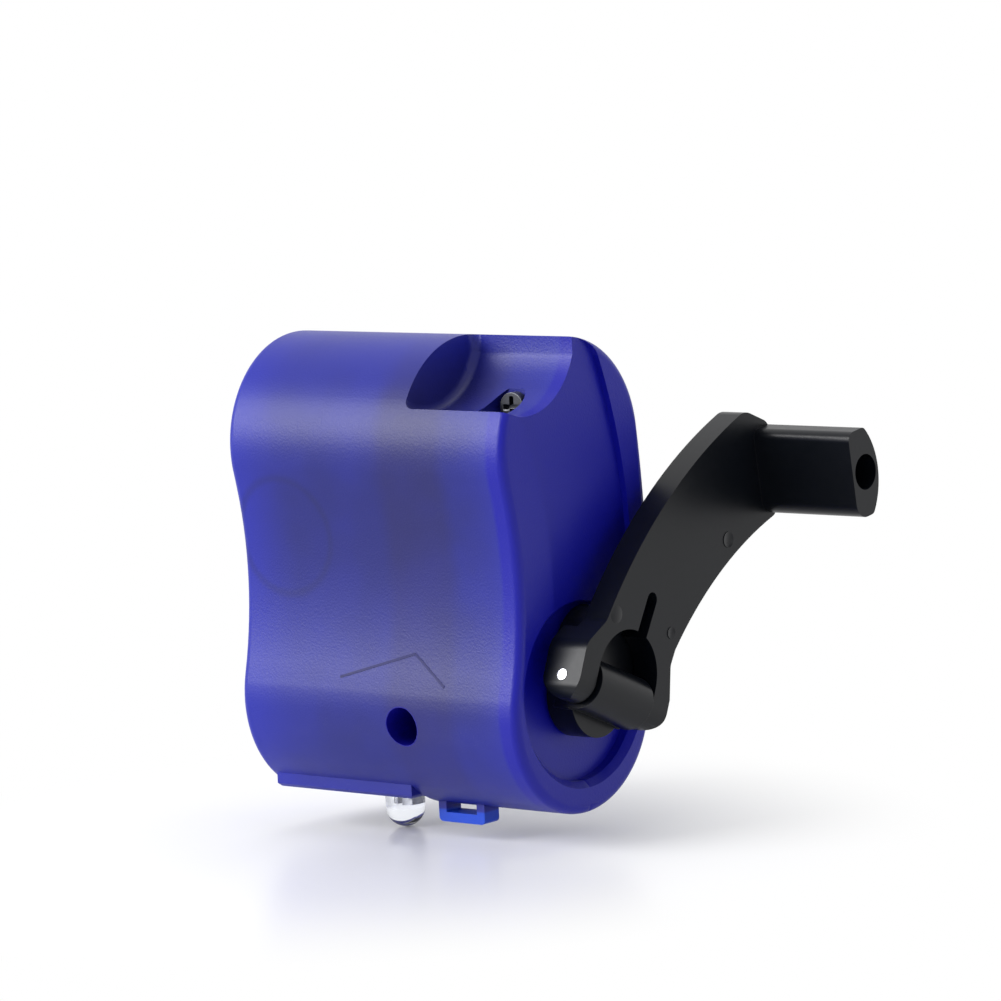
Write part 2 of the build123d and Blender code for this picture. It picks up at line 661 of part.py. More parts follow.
GEAR_START = REAR_PLATE_X + PLATE_THICKNESS + END_FLOAT
GEAR_END = FRONT_PLATE_X - END_FLOAT

with BuildPart() as drive_gear:
    with BuildSketch(Plane.YZ.offset(LAYER_A)):
        with Locations((0, DRIVE_Z)):
            add(wheel(DRIVE_TEETH, 90))
    extrude(amount=LAYER)
    disc(GEAR_START, GEAR_END, DRIVE_BOSS_RADIUS, 0, DRIVE_Z)
    with BuildSketch(Plane.YZ.offset(LAYER_A)):
        with Locations((0, DRIVE_Z)):
            with PolarLocations(6.4, 5):
                Circle(1.7)
    extrude(amount=LAYER, mode=Mode.SUBTRACT)
    bore(GEAR_START, GEAR_END, DRIVE_SHAFT_RADIUS, 0, DRIVE_Z)
save(drive_gear, "drive_gear")

with BuildPart() as first_gear:
    with BuildSketch(Plane.YZ.offset(GEAR_START)):
        with Locations((0, FIRST_Z)):
            add(pinion(-90 + HALF_PINION_PITCH))
    extrude(amount=LAYER_B - GEAR_START)
    with BuildSketch(Plane.YZ.offset(LAYER_B)):
        with Locations((0, FIRST_Z)):
            add(wheel(FIRST_TEETH, TO_SECOND))
    extrude(amount=LAYER)
    disc(LAYER_B, GEAR_END, 2.2, 0, FIRST_Z)
    bore(GEAR_START, GEAR_END, AXLE_RADIUS + RUNNING_FIT, 0, FIRST_Z)
save(first_gear, "first_gear")

with BuildPart() as second_gear:
    with BuildSketch(Plane.YZ.offset(LAYER_A + LAYER)):
        with Locations((SECOND_OFFSET_Y, SECOND_Z)):
            add(pinion(TO_SECOND + 180 + HALF_PINION_PITCH))
    extrude(amount=GEAR_END - LAYER_A - LAYER)
    with BuildSketch(Plane.YZ.offset(LAYER_A)):
        with Locations((SECOND_OFFSET_Y, SECOND_Z)):
            add(wheel(SECOND_TEETH, TO_ROTOR))
    extrude(amount=LAYER)
    disc(GEAR_START, LAYER_A, 2.2, SECOND_OFFSET_Y, SECOND_Z)
    bore(GEAR_START, GEAR_END, AXLE_RADIUS + RUNNING_FIT, SECOND_OFFSET_Y, SECOND_Z)
save(second_gear, "second_gear")

# ---------------------------------------------------------------- generator
CAN_WALL = 1.0
GENERATOR_END = GENERATOR_START + GENERATOR_LENGTH
BEARING_RADIUS = 2.4
CAP_THICKNESS = 1.6
CAP_BOSS = 1.2
MAGNET_THICKNESS = 1.8
ROTOR_GAP = 0.4
ROTOR_RADIUS = GENERATOR_RADIUS - CAN_WALL - MAGNET_THICKNESS - ROTOR_GAP
ROTOR_START = GENERATOR_START + 6.2
ROTOR_LENGTH = GENERATOR_LENGTH - 9.4
COIL_OVERHANG = 1.2
COMMUTATOR_RADIUS = 1.9

with BuildPart() as generator_can:
    disc(GENERATOR_START, GENERATOR_END, GENERATOR_RADIUS, 0, ROTOR_Z)
    rim = generator_can.edges().filter_by(GeomType.CIRCLE).group_by(Axis.X)[-1]
    fillet(rim, 0.8)
    bore(GENERATOR_START, GENERATOR_END - CAN_WALL, GENERATOR_RADIUS - CAN_WALL, 0, ROTOR_Z)
    bore(GENERATOR_END - CAN_WALL - 1, GENERATOR_END + 1, BEARING_RADIUS, 0, ROTOR_Z)
save(generator_can, "generator_can")

with BuildPart() as generator_cap:
    disc(GENERATOR_START - 0.6, GENERATOR_START, GENERATOR_RADIUS - 0.2, 0, ROTOR_Z)
    cap_end = GENERATOR_START + CAP_THICKNESS
    disc(GENERATOR_START, cap_end, GENERATOR_RADIUS - CAN_WALL - 0.05, 0, ROTOR_Z)
    disc(GENERATOR_START - 0.6 - CAP_BOSS, GENERATOR_START, BEARING_RADIUS + 1.0, 0, ROTOR_Z)
    bore(GENERATOR_START - 3, cap_end + 1, BEARING_RADIUS, 0, ROTOR_Z)
    with BuildSketch(Plane.YZ.offset(GENERATOR_START - 1)):
        with Locations((-6.5, ROTOR_Z), (6.5, ROTOR_Z)):
            Rectangle(0.7, 2.6)
    extrude(amount=CAP_THICKNESS + 2, mode=Mode.SUBTRACT)
save(generator_cap, "generator_cap")

with BuildPart() as generator_bearings:
    for start, length in ((GENERATOR_START - 1.6, 3.0), (GENERATOR_END - CAN_WALL - 0.6, 2.6)):
        disc(start, start + length, BEARING_RADIUS, 0, ROTOR_Z)
        bore(start, start + length, AXLE_RADIUS + RUNNING_FIT, 0, ROTOR_Z)
save(generator_bearings, "generator_bearings")

with BuildPart() as generator_magnets:
    with BuildSketch(Plane.YZ.offset(ROTOR_START - 1)) as ring:
        with Locations((0, ROTOR_Z)):
            Circle(GENERATOR_RADIUS - CAN_WALL)
            Circle(GENERATOR_RADIUS - CAN_WALL - MAGNET_THICKNESS, mode=Mode.SUBTRACT)
            Rectangle(4.5, 3 * GENERATOR_RADIUS, mode=Mode.SUBTRACT)
    extrude(amount=ROTOR_LENGTH + 2)
save(generator_magnets, "generator_magnets")

with BuildPart() as rotor_shaft:
    disc(GENERATOR_START - 1.2, LAYER_A + LAYER + 0.8, AXLE_RADIUS, 0, ROTOR_Z)
save(rotor_shaft, "rotor_shaft")

with BuildPart() as rotor_core:
    with BuildSketch(Plane.YZ.offset(ROTOR_START)) as poles:
        with Locations((0, ROTOR_Z)):
            Circle(ROTOR_RADIUS)
            Circle(ROTOR_RADIUS - 1.3, mode=Mode.SUBTRACT)
            with PolarLocations(ROTOR_RADIUS, 3, start_angle=30):
                Rectangle(3.0, 1.4, mode=Mode.SUBTRACT)
            Circle(2.1)
            for k in range(3):
                with PolarLocations(ROTOR_RADIUS / 2, 1, start_angle=90 + 120 * k):
                    Rectangle(ROTOR_RADIUS - 0.5, 2.0)
            Circle(AXLE_RADIUS, mode=Mode.SUBTRACT)
    extrude(amount=ROTOR_LENGTH)
save(rotor_core, "rotor_core")

with BuildPart() as rotor_windings:
    for k in range(3):
        turn = radians(90 + 120 * k)
        arm = Plane(
            origin=(ROTOR_START - COIL_OVERHANG, 0, ROTOR_Z),
            x_dir=(0, cos(turn), sin(turn)),
            z_dir=(1, 0, 0),
        )
        with BuildSketch(arm):
            with Locations((3.7, 0)):
                Rectangle(2.1, 4.6)
        extrude(amount=ROTOR_LENGTH + 2 * COIL_OVERHANG)
        with BuildSketch(arm.offset(COIL_OVERHANG)):
            with Locations((3.7, 0)):
                Rectangle(3.0, 2.0)
        extrude(amount=ROTOR_LENGTH, mode=Mode.SUBTRACT)
save(rotor_windings, "rotor_windings")

with BuildPart() as commutator:
    disc(GENERATOR_START + 1.9, ROTOR_START - COIL_OVERHANG, COMMUTATOR_RADIUS, 0, ROTOR_Z)
    bore(GENERATOR_START, ROTOR_START, AXLE_RADIUS, 0, ROTOR_Z)
    with BuildSketch(Plane.YZ.offset(GENERATOR_START + 1.9)):
        with Locations((0, ROTOR_Z)):
            with PolarLocations(COMMUTATOR_RADIUS, 3, start_angle=90):
                Rectangle(0.8, 0.25)
    extrude(amount=3, mode=Mode.SUBTRACT)
save(commutator, "commutator")

with BuildPart() as rotor_pinion:
    with BuildSketch(Plane.YZ.offset(LAYER_A)):
        with Locations((0, ROTOR_Z)):
            add(pinion(TO_ROTOR + 180 + HALF_PINION_PITCH))
    extrude(amount=LAYER)
    bore(LAYER_A, LAYER_A + LAYER, AXLE_RADIUS, 0, ROTOR_Z)
save(rotor_pinion, "rotor_pinion")

BRUSH_GAP = 0.1
with BuildPart() as brushes:
    for side in (-1, 1):
        inner = side * (COMMUTATOR_RADIUS + BRUSH_GAP)
        outer_end = side * 6.3
        with BuildSketch(Plane.YZ.offset(GENERATOR_START + CAP_THICKNESS + 0.1)):
            with Locations(((inner + outer_end) / 2, ROTOR_Z)):
                Rectangle(abs(outer_end - inner), 1.6)
        extrude(amount=2.0)
save(brushes, "brushes")

TERMINAL_Y = 6.5
with BuildPart() as generator_terminals:
    for side in (-1, 1):
        with BuildSketch(Plane.YZ.offset(GENERATOR_START - 3.2)):
            with Locations((side * TERMINAL_Y, ROTOR_Z)):
                Rectangle(0.4, 2.2)
        extrude(amount=3.2 + CAP_THICKNESS + 2.1)
save(generator_terminals, "generator_terminals")

# ---------------------------------------------------------------- board, socket and lamp
with BuildPart() as circuit_board:
    with BuildSketch(Plane.YZ.offset(BOARD_X)):
        with Locations((0, (BOARD_TOP + BOARD_BOTTOM) / 2)):
            RectangleRounded(BOARD_WIDTH, BOARD_TOP - BOARD_BOTTOM, 0.8)
    extrude(amount=BOARD_THICKNESS)
save(circuit_board, "circuit_board")

SOCKET_MOUTH = PAD_Z + 0.2
with BuildPart() as socket_shell:
    with BuildSketch(Plane.XY.offset(SOCKET_MOUTH)):
        with Locations((SOCKET_X, 0)):
            RectangleRounded(SOCKET_DEPTH, SOCKET_WIDTH, 0.5)
    extrude(amount=SOCKET_LENGTH)
    with BuildSketch(Plane.XY.offset(SOCKET_MOUTH)):
        with Locations((SOCKET_X, 0)):
            Rectangle(SOCKET_DEPTH - 2 * SOCKET_SHEET, SOCKET_WIDTH - 2 * SOCKET_SHEET)
    extrude(amount=SOCKET_LENGTH - 2, mode=Mode.SUBTRACT)
save(socket_shell, "socket_shell")

TONGUE_X = SOCKET_X + 1.2
TONGUE_DEPTH = 1.84
with BuildPart() as socket_tongue:
    with BuildSketch(Plane.XY.offset(SOCKET_MOUTH + 1.2)):
        with Locations((TONGUE_X, 0)):
            Rectangle(TONGUE_DEPTH, 11.1)
    extrude(amount=SOCKET_LENGTH - 2 - 1.2)
save(socket_tongue, "socket_tongue")

CONTACT_PITCH = 2.3
with BuildPart() as socket_contacts:
    with BuildSketch(Plane.XY.offset(SOCKET_MOUTH + 2.0)):
        with Locations((TONGUE_X - TONGUE_DEPTH / 2 - 0.1, 0)):
            with GridLocations(1, CONTACT_PITCH, 1, 4):
                Rectangle(0.2, 1.0)
    extrude(amount=SOCKET_LENGTH - 4.5)
save(socket_contacts, "socket_contacts")

LAMP_TIP = PAD_Z - LAMP_DROP
LAMP_FLANGE_Z = PAD_Z + WALL + 0.1
LAMP_FLANGE = 1.0
with BuildPart() as led:
    with BuildSketch(Plane.XY.offset(LAMP_TIP + LAMP_RADIUS)):
        with Locations((LAMP_X, 0)):
            Circle(LAMP_RADIUS)
    extrude(amount=LAMP_FLANGE_Z - LAMP_TIP - LAMP_RADIUS)
    with Locations((LAMP_X, 0, LAMP_TIP + LAMP_RADIUS)):
        Sphere(LAMP_RADIUS)
    with BuildSketch(Plane.XY.offset(LAMP_FLANGE_Z)):
        with Locations((LAMP_X, 0)):
            Circle(LAMP_RADIUS + 0.4)
    extrude(amount=LAMP_FLANGE)
save(led, "led")

LEAD = 0.5
LEAD_SPACING = 2.54
LEAD_TOP = LAMP_FLANGE_Z + LAMP_FLANGE + 3.0
with BuildPart() as led_leads:
    for side in (-1, 1):
        y = side * LEAD_SPACING / 2
        with BuildSketch(Plane.XY.offset(LAMP_FLANGE_Z + LAMP_FLANGE)):
            with Locations((LAMP_X, y)):
                Rectangle(LEAD, LEAD)
        extrude(amount=LEAD_TOP - LAMP_FLANGE_Z - LAMP_FLANGE)
        with BuildSketch(Plane.YZ.offset(BOARD_X + BOARD_THICKNESS)):
            with Locations((y, LEAD_TOP - LEAD / 2)):
                Rectangle(LEAD, LEAD)
        extrude(amount=LAMP_X + LEAD / 2 - BOARD_X - BOARD_THICKNESS)
save(led_leads, "led_leads")

BOARD_FACE = BOARD_X + BOARD_THICKNESS
with BuildPart() as capacitor:
    disc(BOARD_FACE, BOARD_FACE + 7.0, 3.15, -4.1, DRIVE_Z + 2.0)
    can_rim = capacitor.edges().filter_by(GeomType.CIRCLE)
    fillet(can_rim.group_by(Axis.X)[-1], 0.4)
save(capacitor, "capacitor")

with BuildPart() as diodes:
    with BuildSketch(Plane.YZ.offset(BOARD_FACE)):
        with Locations((3.3, DRIVE_Z + 2.8)):
            with GridLocations(4.4, 2.8, 2, 4):
                Rectangle(3.4, 1.7)
    extrude(amount=1.5)
save(diodes, "diodes")

with BuildPart() as regulator:
    with BuildSketch(Plane.YZ.offset(BOARD_FACE)):
        with Locations((3.3, DRIVE_Z - 4.4)):
            Rectangle(4.6, 2.6)
    extrude(amount=1.6)
    with BuildSketch(Plane.YZ.offset(BOARD_FACE)):
        with Locations((3.3, DRIVE_Z - 6.2)):
            with GridLocations(1.5, 1, 3, 1):
                Rectangle(0.5, 1.2)
    extrude(amount=0.4)
save(regulator, "regulator")

LEAD_WIRE_RADIUS = 0.5
with BuildPart() as generator_leads:
    for side in (-1, 1):
        y = side * TERMINAL_Y
        top = ROTOR_Z - 1.1
        x = GENERATOR_START - 3.0
        bend = 2.0
        with BuildLine() as route:
            Line((x, y, top), (x, y, BOARD_TOP - 1.5 + bend))
            turn_start = (x, y, BOARD_TOP - 1.5 + bend)
            TangentArc(turn_start, (x + bend, y, BOARD_TOP - 1.5), tangent=(0, 0, -1))
            Line((x + bend, y, BOARD_TOP - 1.5), (BOARD_X, y, BOARD_TOP - 1.5))
        with BuildSketch(Plane(origin=(x, y, top), z_dir=(0, 0, -1))):
            Circle(LEAD_WIRE_RADIUS)
        sweep(path=route.wire())
save(generator_leads, "generator_leads")

# ---------------------------------------------------------------- crank
with BuildPart() as drive_bushing:
    disc(CAVITY_END - 1.0, CAVITY_END, BUSHING_RADIUS + 1.5, 0, DRIVE_Z)
    disc(CAVITY_END, RECESS_FLOOR, BUSHING_RADIUS, 0, DRIVE_Z)
    bore(CAVITY_END - 2, RECESS_FLOOR + 1, DRIVE_SHAFT_RADIUS + RUNNING_FIT, 0, DRIVE_Z)
save(drive_bushing, "drive_bushing")

HUB_BACK_X = RECESS_FLOOR + MOVING_GAP
SHAFT_END = PIN_X - PIN_RADIUS - 0.85
with BuildPart() as drive_shaft:
    disc(REAR_PLATE_X, SHAFT_END, DRIVE_SHAFT_RADIUS, 0, DRIVE_Z)
save(drive_shaft, "drive_shaft")

with BuildPart() as thrust_washer:
    disc(RECESS_FLOOR + RUNNING_FIT, HUB_BACK_X, DRIVE_SHAFT_RADIUS + 2.4, 0, DRIVE_Z)
    bore(RECESS_FLOOR, HUB_BACK_X, DRIVE_SHAFT_RADIUS + RUNNING_FIT, 0, DRIVE_Z)
save(thrust_washer, "thrust_washer")

with BuildPart() as crank_hub:
    with BuildSketch(crank_plane(HUB_BACK_X)):
        length = HUB_REACH + HUB_RADIUS
        with Locations((0, (HUB_REACH - HUB_RADIUS) / 2)):
            SlotOverall(length, 2 * HUB_RADIUS, rotation=90)
    extrude(amount=HUB_TOP_X - HUB_BACK_X)
    knuckle = Plane(
        origin=Vector(PIN_X, 0, DRIVE_Z) - Vector(*CRANK_CROSS) * KNUCKLE_HALF_WIDTH,
        x_dir=(1, 0, 0),
        z_dir=CRANK_CROSS,
    )
    with BuildSketch(knuckle):
        Circle(KNUCKLE_RADIUS)
        with Locations((-KNUCKLE_RADIUS / 2 - 0.5, 0)):
            Rectangle(KNUCKLE_RADIUS - 1, 2 * KNUCKLE_RADIUS)
    extrude(amount=2 * KNUCKLE_HALF_WIDTH)
    with BuildSketch(knuckle):
        Circle(PIN_RADIUS + RUNNING_FIT)
    extrude(amount=2 * KNUCKLE_HALF_WIDTH, mode=Mode.SUBTRACT)
    bore(HUB_BACK_X, SHAFT_END, DRIVE_SHAFT_RADIUS, 0, DRIVE_Z)
save(crank_hub, "crank_hub")

PIN_END = RING_HALF_WIDTH + 0.1
pin_plane = Plane(
    origin=Vector(PIN_X, 0, DRIVE_Z) - Vector(*CRANK_CROSS) * PIN_END,
    x_dir=(1, 0, 0),
    z_dir=CRANK_CROSS,
)
with BuildPart() as hinge_pin:
    with BuildSketch(pin_plane):
        Circle(PIN_RADIUS)
    extrude(amount=2 * PIN_END)
save(hinge_pin, "hinge_pin")

with BuildPart() as cheeks:
    # the two ears of the fork, full depth and rounded about the pin
    with BuildSketch(crank_plane(BODY_LENGTH + MOVING_GAP)):
        add(arm_profile())
        Rectangle(2 * THROAT_HALF_WIDTH, 50, mode=Mode.SUBTRACT)
        with Locations((0, 30 + EAR_REACH)):
            Rectangle(100, 60, mode=Mode.SUBTRACT)
    extrude(amount=2 * CHEEK_RADIUS)
    with BuildPart(mode=Mode.PRIVATE) as end_form:
        with BuildSketch(pin_plane):
            Circle(CHEEK_RADIUS)
            with Locations((0, -10)):
                Rectangle(2 * CHEEK_RADIUS, 20)
        extrude(amount=2 * PIN_END)
    add(end_form.part, mode=Mode.INTERSECT)

HANDLE_PLACE = Location((HANDLE_U, HANDLE_N), HANDLE_TURN)
with BuildPart() as crank_arm:
    with BuildSketch(crank_plane(ARM_BACK_X)):
        add(arm_profile())
        with Locations((0, -CHEEK_RADIUS)):
            Rectangle(100, 2 * CHEEK_RADIUS, mode=Mode.SUBTRACT)
    extrude(amount=ARM_THICKNESS)
    add(cheeks.part)
    with BuildSketch(crank_plane(ARM_FACE_X)):
        with Locations(HANDLE_PLACE):
            add(handle_profile())
    extrude(amount=HANDLE_LENGTH)
    with BuildSketch(crank_plane(BODY_LENGTH)):
        add(throat_profile())
    extrude(amount=ARM_FACE_X, mode=Mode.SUBTRACT)
    with BuildSketch(crank_plane(ARM_FACE_X + HANDLE_LENGTH)):
        with Locations(HANDLE_PLACE):
            Circle(HANDLE_BORE_RADIUS)
    extrude(amount=-HANDLE_BORE_DEPTH, mode=Mode.SUBTRACT)
    with BuildSketch(pin_plane):
        Circle(PIN_RADIUS)
    extrude(amount=2 * PIN_END, mode=Mode.SUBTRACT)
save(crank_arm, "crank_arm")
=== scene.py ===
"""Dresses the pocket hand-crank charger: translucent casing, black folding crank, inner works."""

import json
import logging
import math
from dataclasses import dataclass, field
from enum import Enum

import bpy
from mathutils import Matrix, Vector


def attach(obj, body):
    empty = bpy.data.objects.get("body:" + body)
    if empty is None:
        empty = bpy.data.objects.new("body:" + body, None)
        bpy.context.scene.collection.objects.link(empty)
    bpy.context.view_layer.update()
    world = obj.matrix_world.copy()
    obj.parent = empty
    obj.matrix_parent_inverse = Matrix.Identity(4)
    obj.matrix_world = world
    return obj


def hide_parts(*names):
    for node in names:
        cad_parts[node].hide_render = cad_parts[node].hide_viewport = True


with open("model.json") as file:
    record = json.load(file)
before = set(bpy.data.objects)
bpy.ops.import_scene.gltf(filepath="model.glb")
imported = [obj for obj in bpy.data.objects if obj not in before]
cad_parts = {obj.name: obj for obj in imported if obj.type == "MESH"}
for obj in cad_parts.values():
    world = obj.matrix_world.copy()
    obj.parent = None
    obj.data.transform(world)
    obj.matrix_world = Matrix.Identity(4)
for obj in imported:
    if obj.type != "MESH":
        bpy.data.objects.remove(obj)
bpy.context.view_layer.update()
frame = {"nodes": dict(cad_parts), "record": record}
LOG = logging.getLogger("charger")
Socket = bpy.types.NodeSocket

MM = 0.001
PER_METRE = 1000.0  # a pattern's scale is this over its size in millimetres
WHITE = "#FFFFFF"

WELD_MM = 0.002  # CAD corners closer than this are one corner
FLAT_DEGREES = 1.0  # CAD triangles that meet flatter than this are one face
CRISP_DEGREES = 35.0  # edges sharper than this stay crisp
FACING = 0.9  # a face whose normal has this much of an axis faces along it


# ---------------------------------------------------------------- small helpers
def srgb(code: str, alpha: float = 1.0) -> tuple[float, float, float, float]:
    """Turns an sRGB hex colour into the linear colour a shader wants.

    Args:
        code: the colour as "#rrggbb".
        alpha: the fourth channel.

    Returns:
        Linear red, green, blue and alpha.
    """
    parts = [int(code[i : i + 2], 16) / 255 for i in (1, 3, 5)]
    linear = [c / 12.92 if c <= 0.04045 else ((c + 0.055) / 1.055) ** 2.4 for c in parts]
    return (*linear, alpha)


def add_node(tree: bpy.types.NodeTree, kind: str, settings: dict, **inputs) -> bpy.types.Node:
    """Adds a node, sets it up and links it.

    Args:
        tree: the node tree that gets the node.
        kind: the node's type name.
        settings: attributes of the node itself.
        **inputs: input name, with _ for a blank, or i and its number, to a value or to the
            socket that feeds it.

    Returns:
        The new node.
    """
    node = tree.nodes.new(kind)
    for name, value in settings.items():
        setattr(node, name, value)
    for name, value in inputs.items():
        key = int(name[1:]) if name[0] == "i" and name[1:].isdigit() else name.replace("_", " ")
        if isinstance(value, bpy.types.NodeSocket):
            tree.links.new(value, node.inputs[key])
        else:
            node.inputs[key].default_value = value
    return node


def empty_tree(owner: bpy.types.Material | bpy.types.World) -> bpy.types.NodeTree:
    """Turns nodes on and clears them.

    Args:
        owner: a material or a world.

    Returns:
        Its empty node tree.
    """
    owner.use_nodes = True
    owner.node_tree.nodes.clear()
    return owner.node_tree


def deselect() -> None:
    """Leaves edit mode and clears the selection, as every operator below needs."""
    if bpy.context.object and bpy.context.object.mode != "OBJECT":
        bpy.ops.object.mode_set(mode="OBJECT")
    bpy.ops.object.select_all(action="DESELECT")


def activate(piece: bpy.types.Object) -> None:
    """Makes one piece the only selected and active object.

    Args:
        piece: the object.
    """
    deselect()
    piece.select_set(True)
    bpy.context.view_layer.objects.active = piece


def settle(piece: bpy.types.Object) -> None:
    """Puts a piece's place into its mesh, with its object at the origin.

    Args:
        piece: the object.
    """
    activate(piece)
    bpy.ops.object.transform_apply(location=True, rotation=True, scale=True)


def apply_modifier(piece: bpy.types.Object, kind: str, **settings) -> None:
    """Adds a modifier, sets it up and applies it.

    Args:
        piece: the object to shape.
        kind: the modifier's type name.
        **settings: the modifier's attributes.
    """
    activate(piece)
    modifier = piece.modifiers.new(kind.lower(), kind)
    for name, value in settings.items():
        setattr(modifier, name, value)
    bpy.ops.object.modifier_apply(modifier=modifier.name)


def smooth(piece: bpy.types.Object, degrees: float = CRISP_DEGREES) -> None:
    """Shades a piece smooth, with edges sharper than the angle kept crisp.

    Args:
        piece: the object.
        degrees: the angle.
    """
    activate(piece)
    bpy.ops.object.shade_smooth_by_angle(angle=math.radians(degrees))


def paint(piece: bpy.types.Object, material: bpy.types.Material) -> None:
    """Gives a piece one material all over.

    Args:
        piece: the object.
        material: its material.
    """
    piece.data.materials.clear()
    piece.data.materials.append(material)
    for face in piece.data.polygons:
        face.material_index = 0


def skin(
    node: str, bevel_mm: float = 0.0, angle: float = CRISP_DEGREES, segments: int = 2
) -> bpy.types.Object:
    """Copies a CAD node as one joined surface with softened edges.

    Args:
        node: the CAD node's name.
        bevel_mm: width of the edge rounding, or 0 for none.
        angle: edges sharper than this many degrees are rounded, or stay crisp with no rounding.
        segments: steps across the rounding.

    Returns:
        The new object, which stands for the node.
    """
    source = frame["nodes"][node]
    piece = bpy.data.objects.new(node + "_skin", source.data.copy())
    bpy.context.collection.objects.link(piece)
    activate(piece)
    bpy.ops.object.mode_set(mode="EDIT")
    bpy.ops.mesh.select_all(action="SELECT")
    bpy.ops.mesh.remove_doubles(threshold=WELD_MM * MM)
    bpy.ops.mesh.customdata_custom_splitnormals_clear()
    if bevel_mm:
        bpy.ops.mesh.dissolve_limited(angle_limit=math.radians(FLAT_DEGREES))
    bpy.ops.object.mode_set(mode="OBJECT")
    if bevel_mm:
        apply_modifier(
            piece, "BEVEL", width=bevel_mm * MM, segments=segments, limit_method="ANGLE",
            angle_limit=math.radians(angle), use_clamp_overlap=True, miter_outer="MITER_ARC",
        )
    smooth(piece, angle)
    if bevel_mm:
        # large flat faces keep flat shading up to their rounded edges
        apply_modifier(piece, "WEIGHTED_NORMAL", keep_sharp=True)
    return piece


def body_name(node: str) -> str:
    """Finds the body that carries a CAD node.

    Args:
        node: the CAD node's name.

    Returns:
        The body's name.
    """
    bodies = frame["record"]["behaviour"]["bodies"]
    return next(body for body, nodes in bodies.items() if node in nodes)


def dress(
    piece: bpy.types.Object, material: bpy.types.Material, node: str, stands: bool
) -> None:
    """Paints a piece and hangs it on the body of the CAD node that it belongs to.

    Args:
        piece: the new object.
        material: its finish.
        node: the CAD node that it stands for or sits on.
        stands: True if the piece takes the node's place.
    """
    paint(piece, material)
    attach(piece, body_name(node))
    if stands:
        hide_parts(node)
    LOG.info("piece %s on %s", piece.name, body_name(node))


# ---------------------------------------------------------------- finishes
class Grain(Enum):
    """How a surface was made, which decides the pattern on it."""

    MOULDED = "moulded"
    BRUSHED = "brushed"
    TURNED = "turned"
    WOUND = "wound"


# how far each grain is drawn out along X, Y and Z: a smaller number is a longer streak
STRETCH = {
    Grain.MOULDED: (1.0, 1.0, 1.0),
    Grain.BRUSHED: (0.06, 1.0, 1.0),
    Grain.TURNED: (1.0, 0.08, 0.08),
}
BLOTCH_DETAIL = 3.0
GRAIN_DETAIL = 4.0
RELIEF_STRENGTH = 0.6
WAVE_TURN = 6.28
WAVE_WANDER = 1.2


@dataclass(frozen=True)
class Finish:
    """One material: what it is, its two colours, and how its surface was made."""

    name: str
    colour: str
    shade: str
    roughness: float = 0.4
    metallic: float = 0.0
    grain: Grain = Grain.MOULDED
    grain_mm: float = 0.6
    bump_mm: float = 0.01
    blotch_mm: float = 9.0
    spread: float = 0.12
    specular: float = 0.5

    def build(self) -> bpy.types.Material:
        """Makes the material.

        Returns:
            A node material with colour drift, uneven gloss and a fine surface relief.
        """
        material = bpy.data.materials.new(self.name)
        tree = empty_tree(material)
        place = add_node(tree, "ShaderNodeTexCoord", {})
        fine = self.pattern(tree, place.outputs["Object"])
        blotch = add_node(
            tree, "ShaderNodeTexNoise", {}, Vector=place.outputs["Object"],
            Scale=PER_METRE / self.blotch_mm, Detail=BLOTCH_DETAIL,
        )
        tint = add_node(
            tree, "ShaderNodeMix", {"data_type": "RGBA"},
            i0=blotch.outputs["Fac"], i6=srgb(self.colour), i7=srgb(self.shade),
        )
        gloss = add_node(
            tree, "ShaderNodeMapRange", {}, Value=fine,
            To_Min=self.roughness - self.spread / 2, To_Max=self.roughness + self.spread / 2,
        )
        relief = add_node(
            tree, "ShaderNodeBump", {},
            Strength=RELIEF_STRENGTH, Distance=self.bump_mm * MM, Height=fine,
        )
        shader = add_node(
            tree, "ShaderNodeBsdfPrincipled", {},
            Base_Color=tint.outputs[2], Roughness=gloss.outputs[0], Normal=relief.outputs[0],
            Metallic=self.metallic,
        )
        if not self.metallic:
            shader.inputs["Specular IOR Level"].default_value = self.specular
        self.extend(tree, shader)
        add_node(tree, "ShaderNodeOutputMaterial", {}, Surface=shader.outputs[0])
        return material

    def pattern(self, tree: bpy.types.NodeTree, place: Socket) -> Socket:
        """Draws the fine pattern left by the way the surface was made.

        Args:
            tree: the material's nodes.
            place: object coordinates.

        Returns:
            A socket that runs from 0 to 1 over the pattern.
        """
        if self.grain is Grain.WOUND:
            wave = add_node(
                tree, "ShaderNodeTexWave", {"bands_direction": "DIAGONAL"}, Vector=place,
                Scale=PER_METRE / self.grain_mm / WAVE_TURN, Distortion=WAVE_WANDER,
            )
            return wave.outputs["Fac"]
        drawn = add_node(
            tree, "ShaderNodeMapping", {}, Vector=place, Scale=STRETCH[self.grain]
        )
        noise = add_node(
            tree, "ShaderNodeTexNoise", {}, Vector=drawn.outputs[0],
            Scale=PER_METRE / self.grain_mm, Detail=GRAIN_DETAIL,
        )
        return noise.outputs["Fac"]

    def extend(self, tree: bpy.types.NodeTree, shader: bpy.types.Node) -> None:
        """Adds nothing to a plain finish.

        Args:
            tree: the material's nodes.
            shader: the main shader.
        """


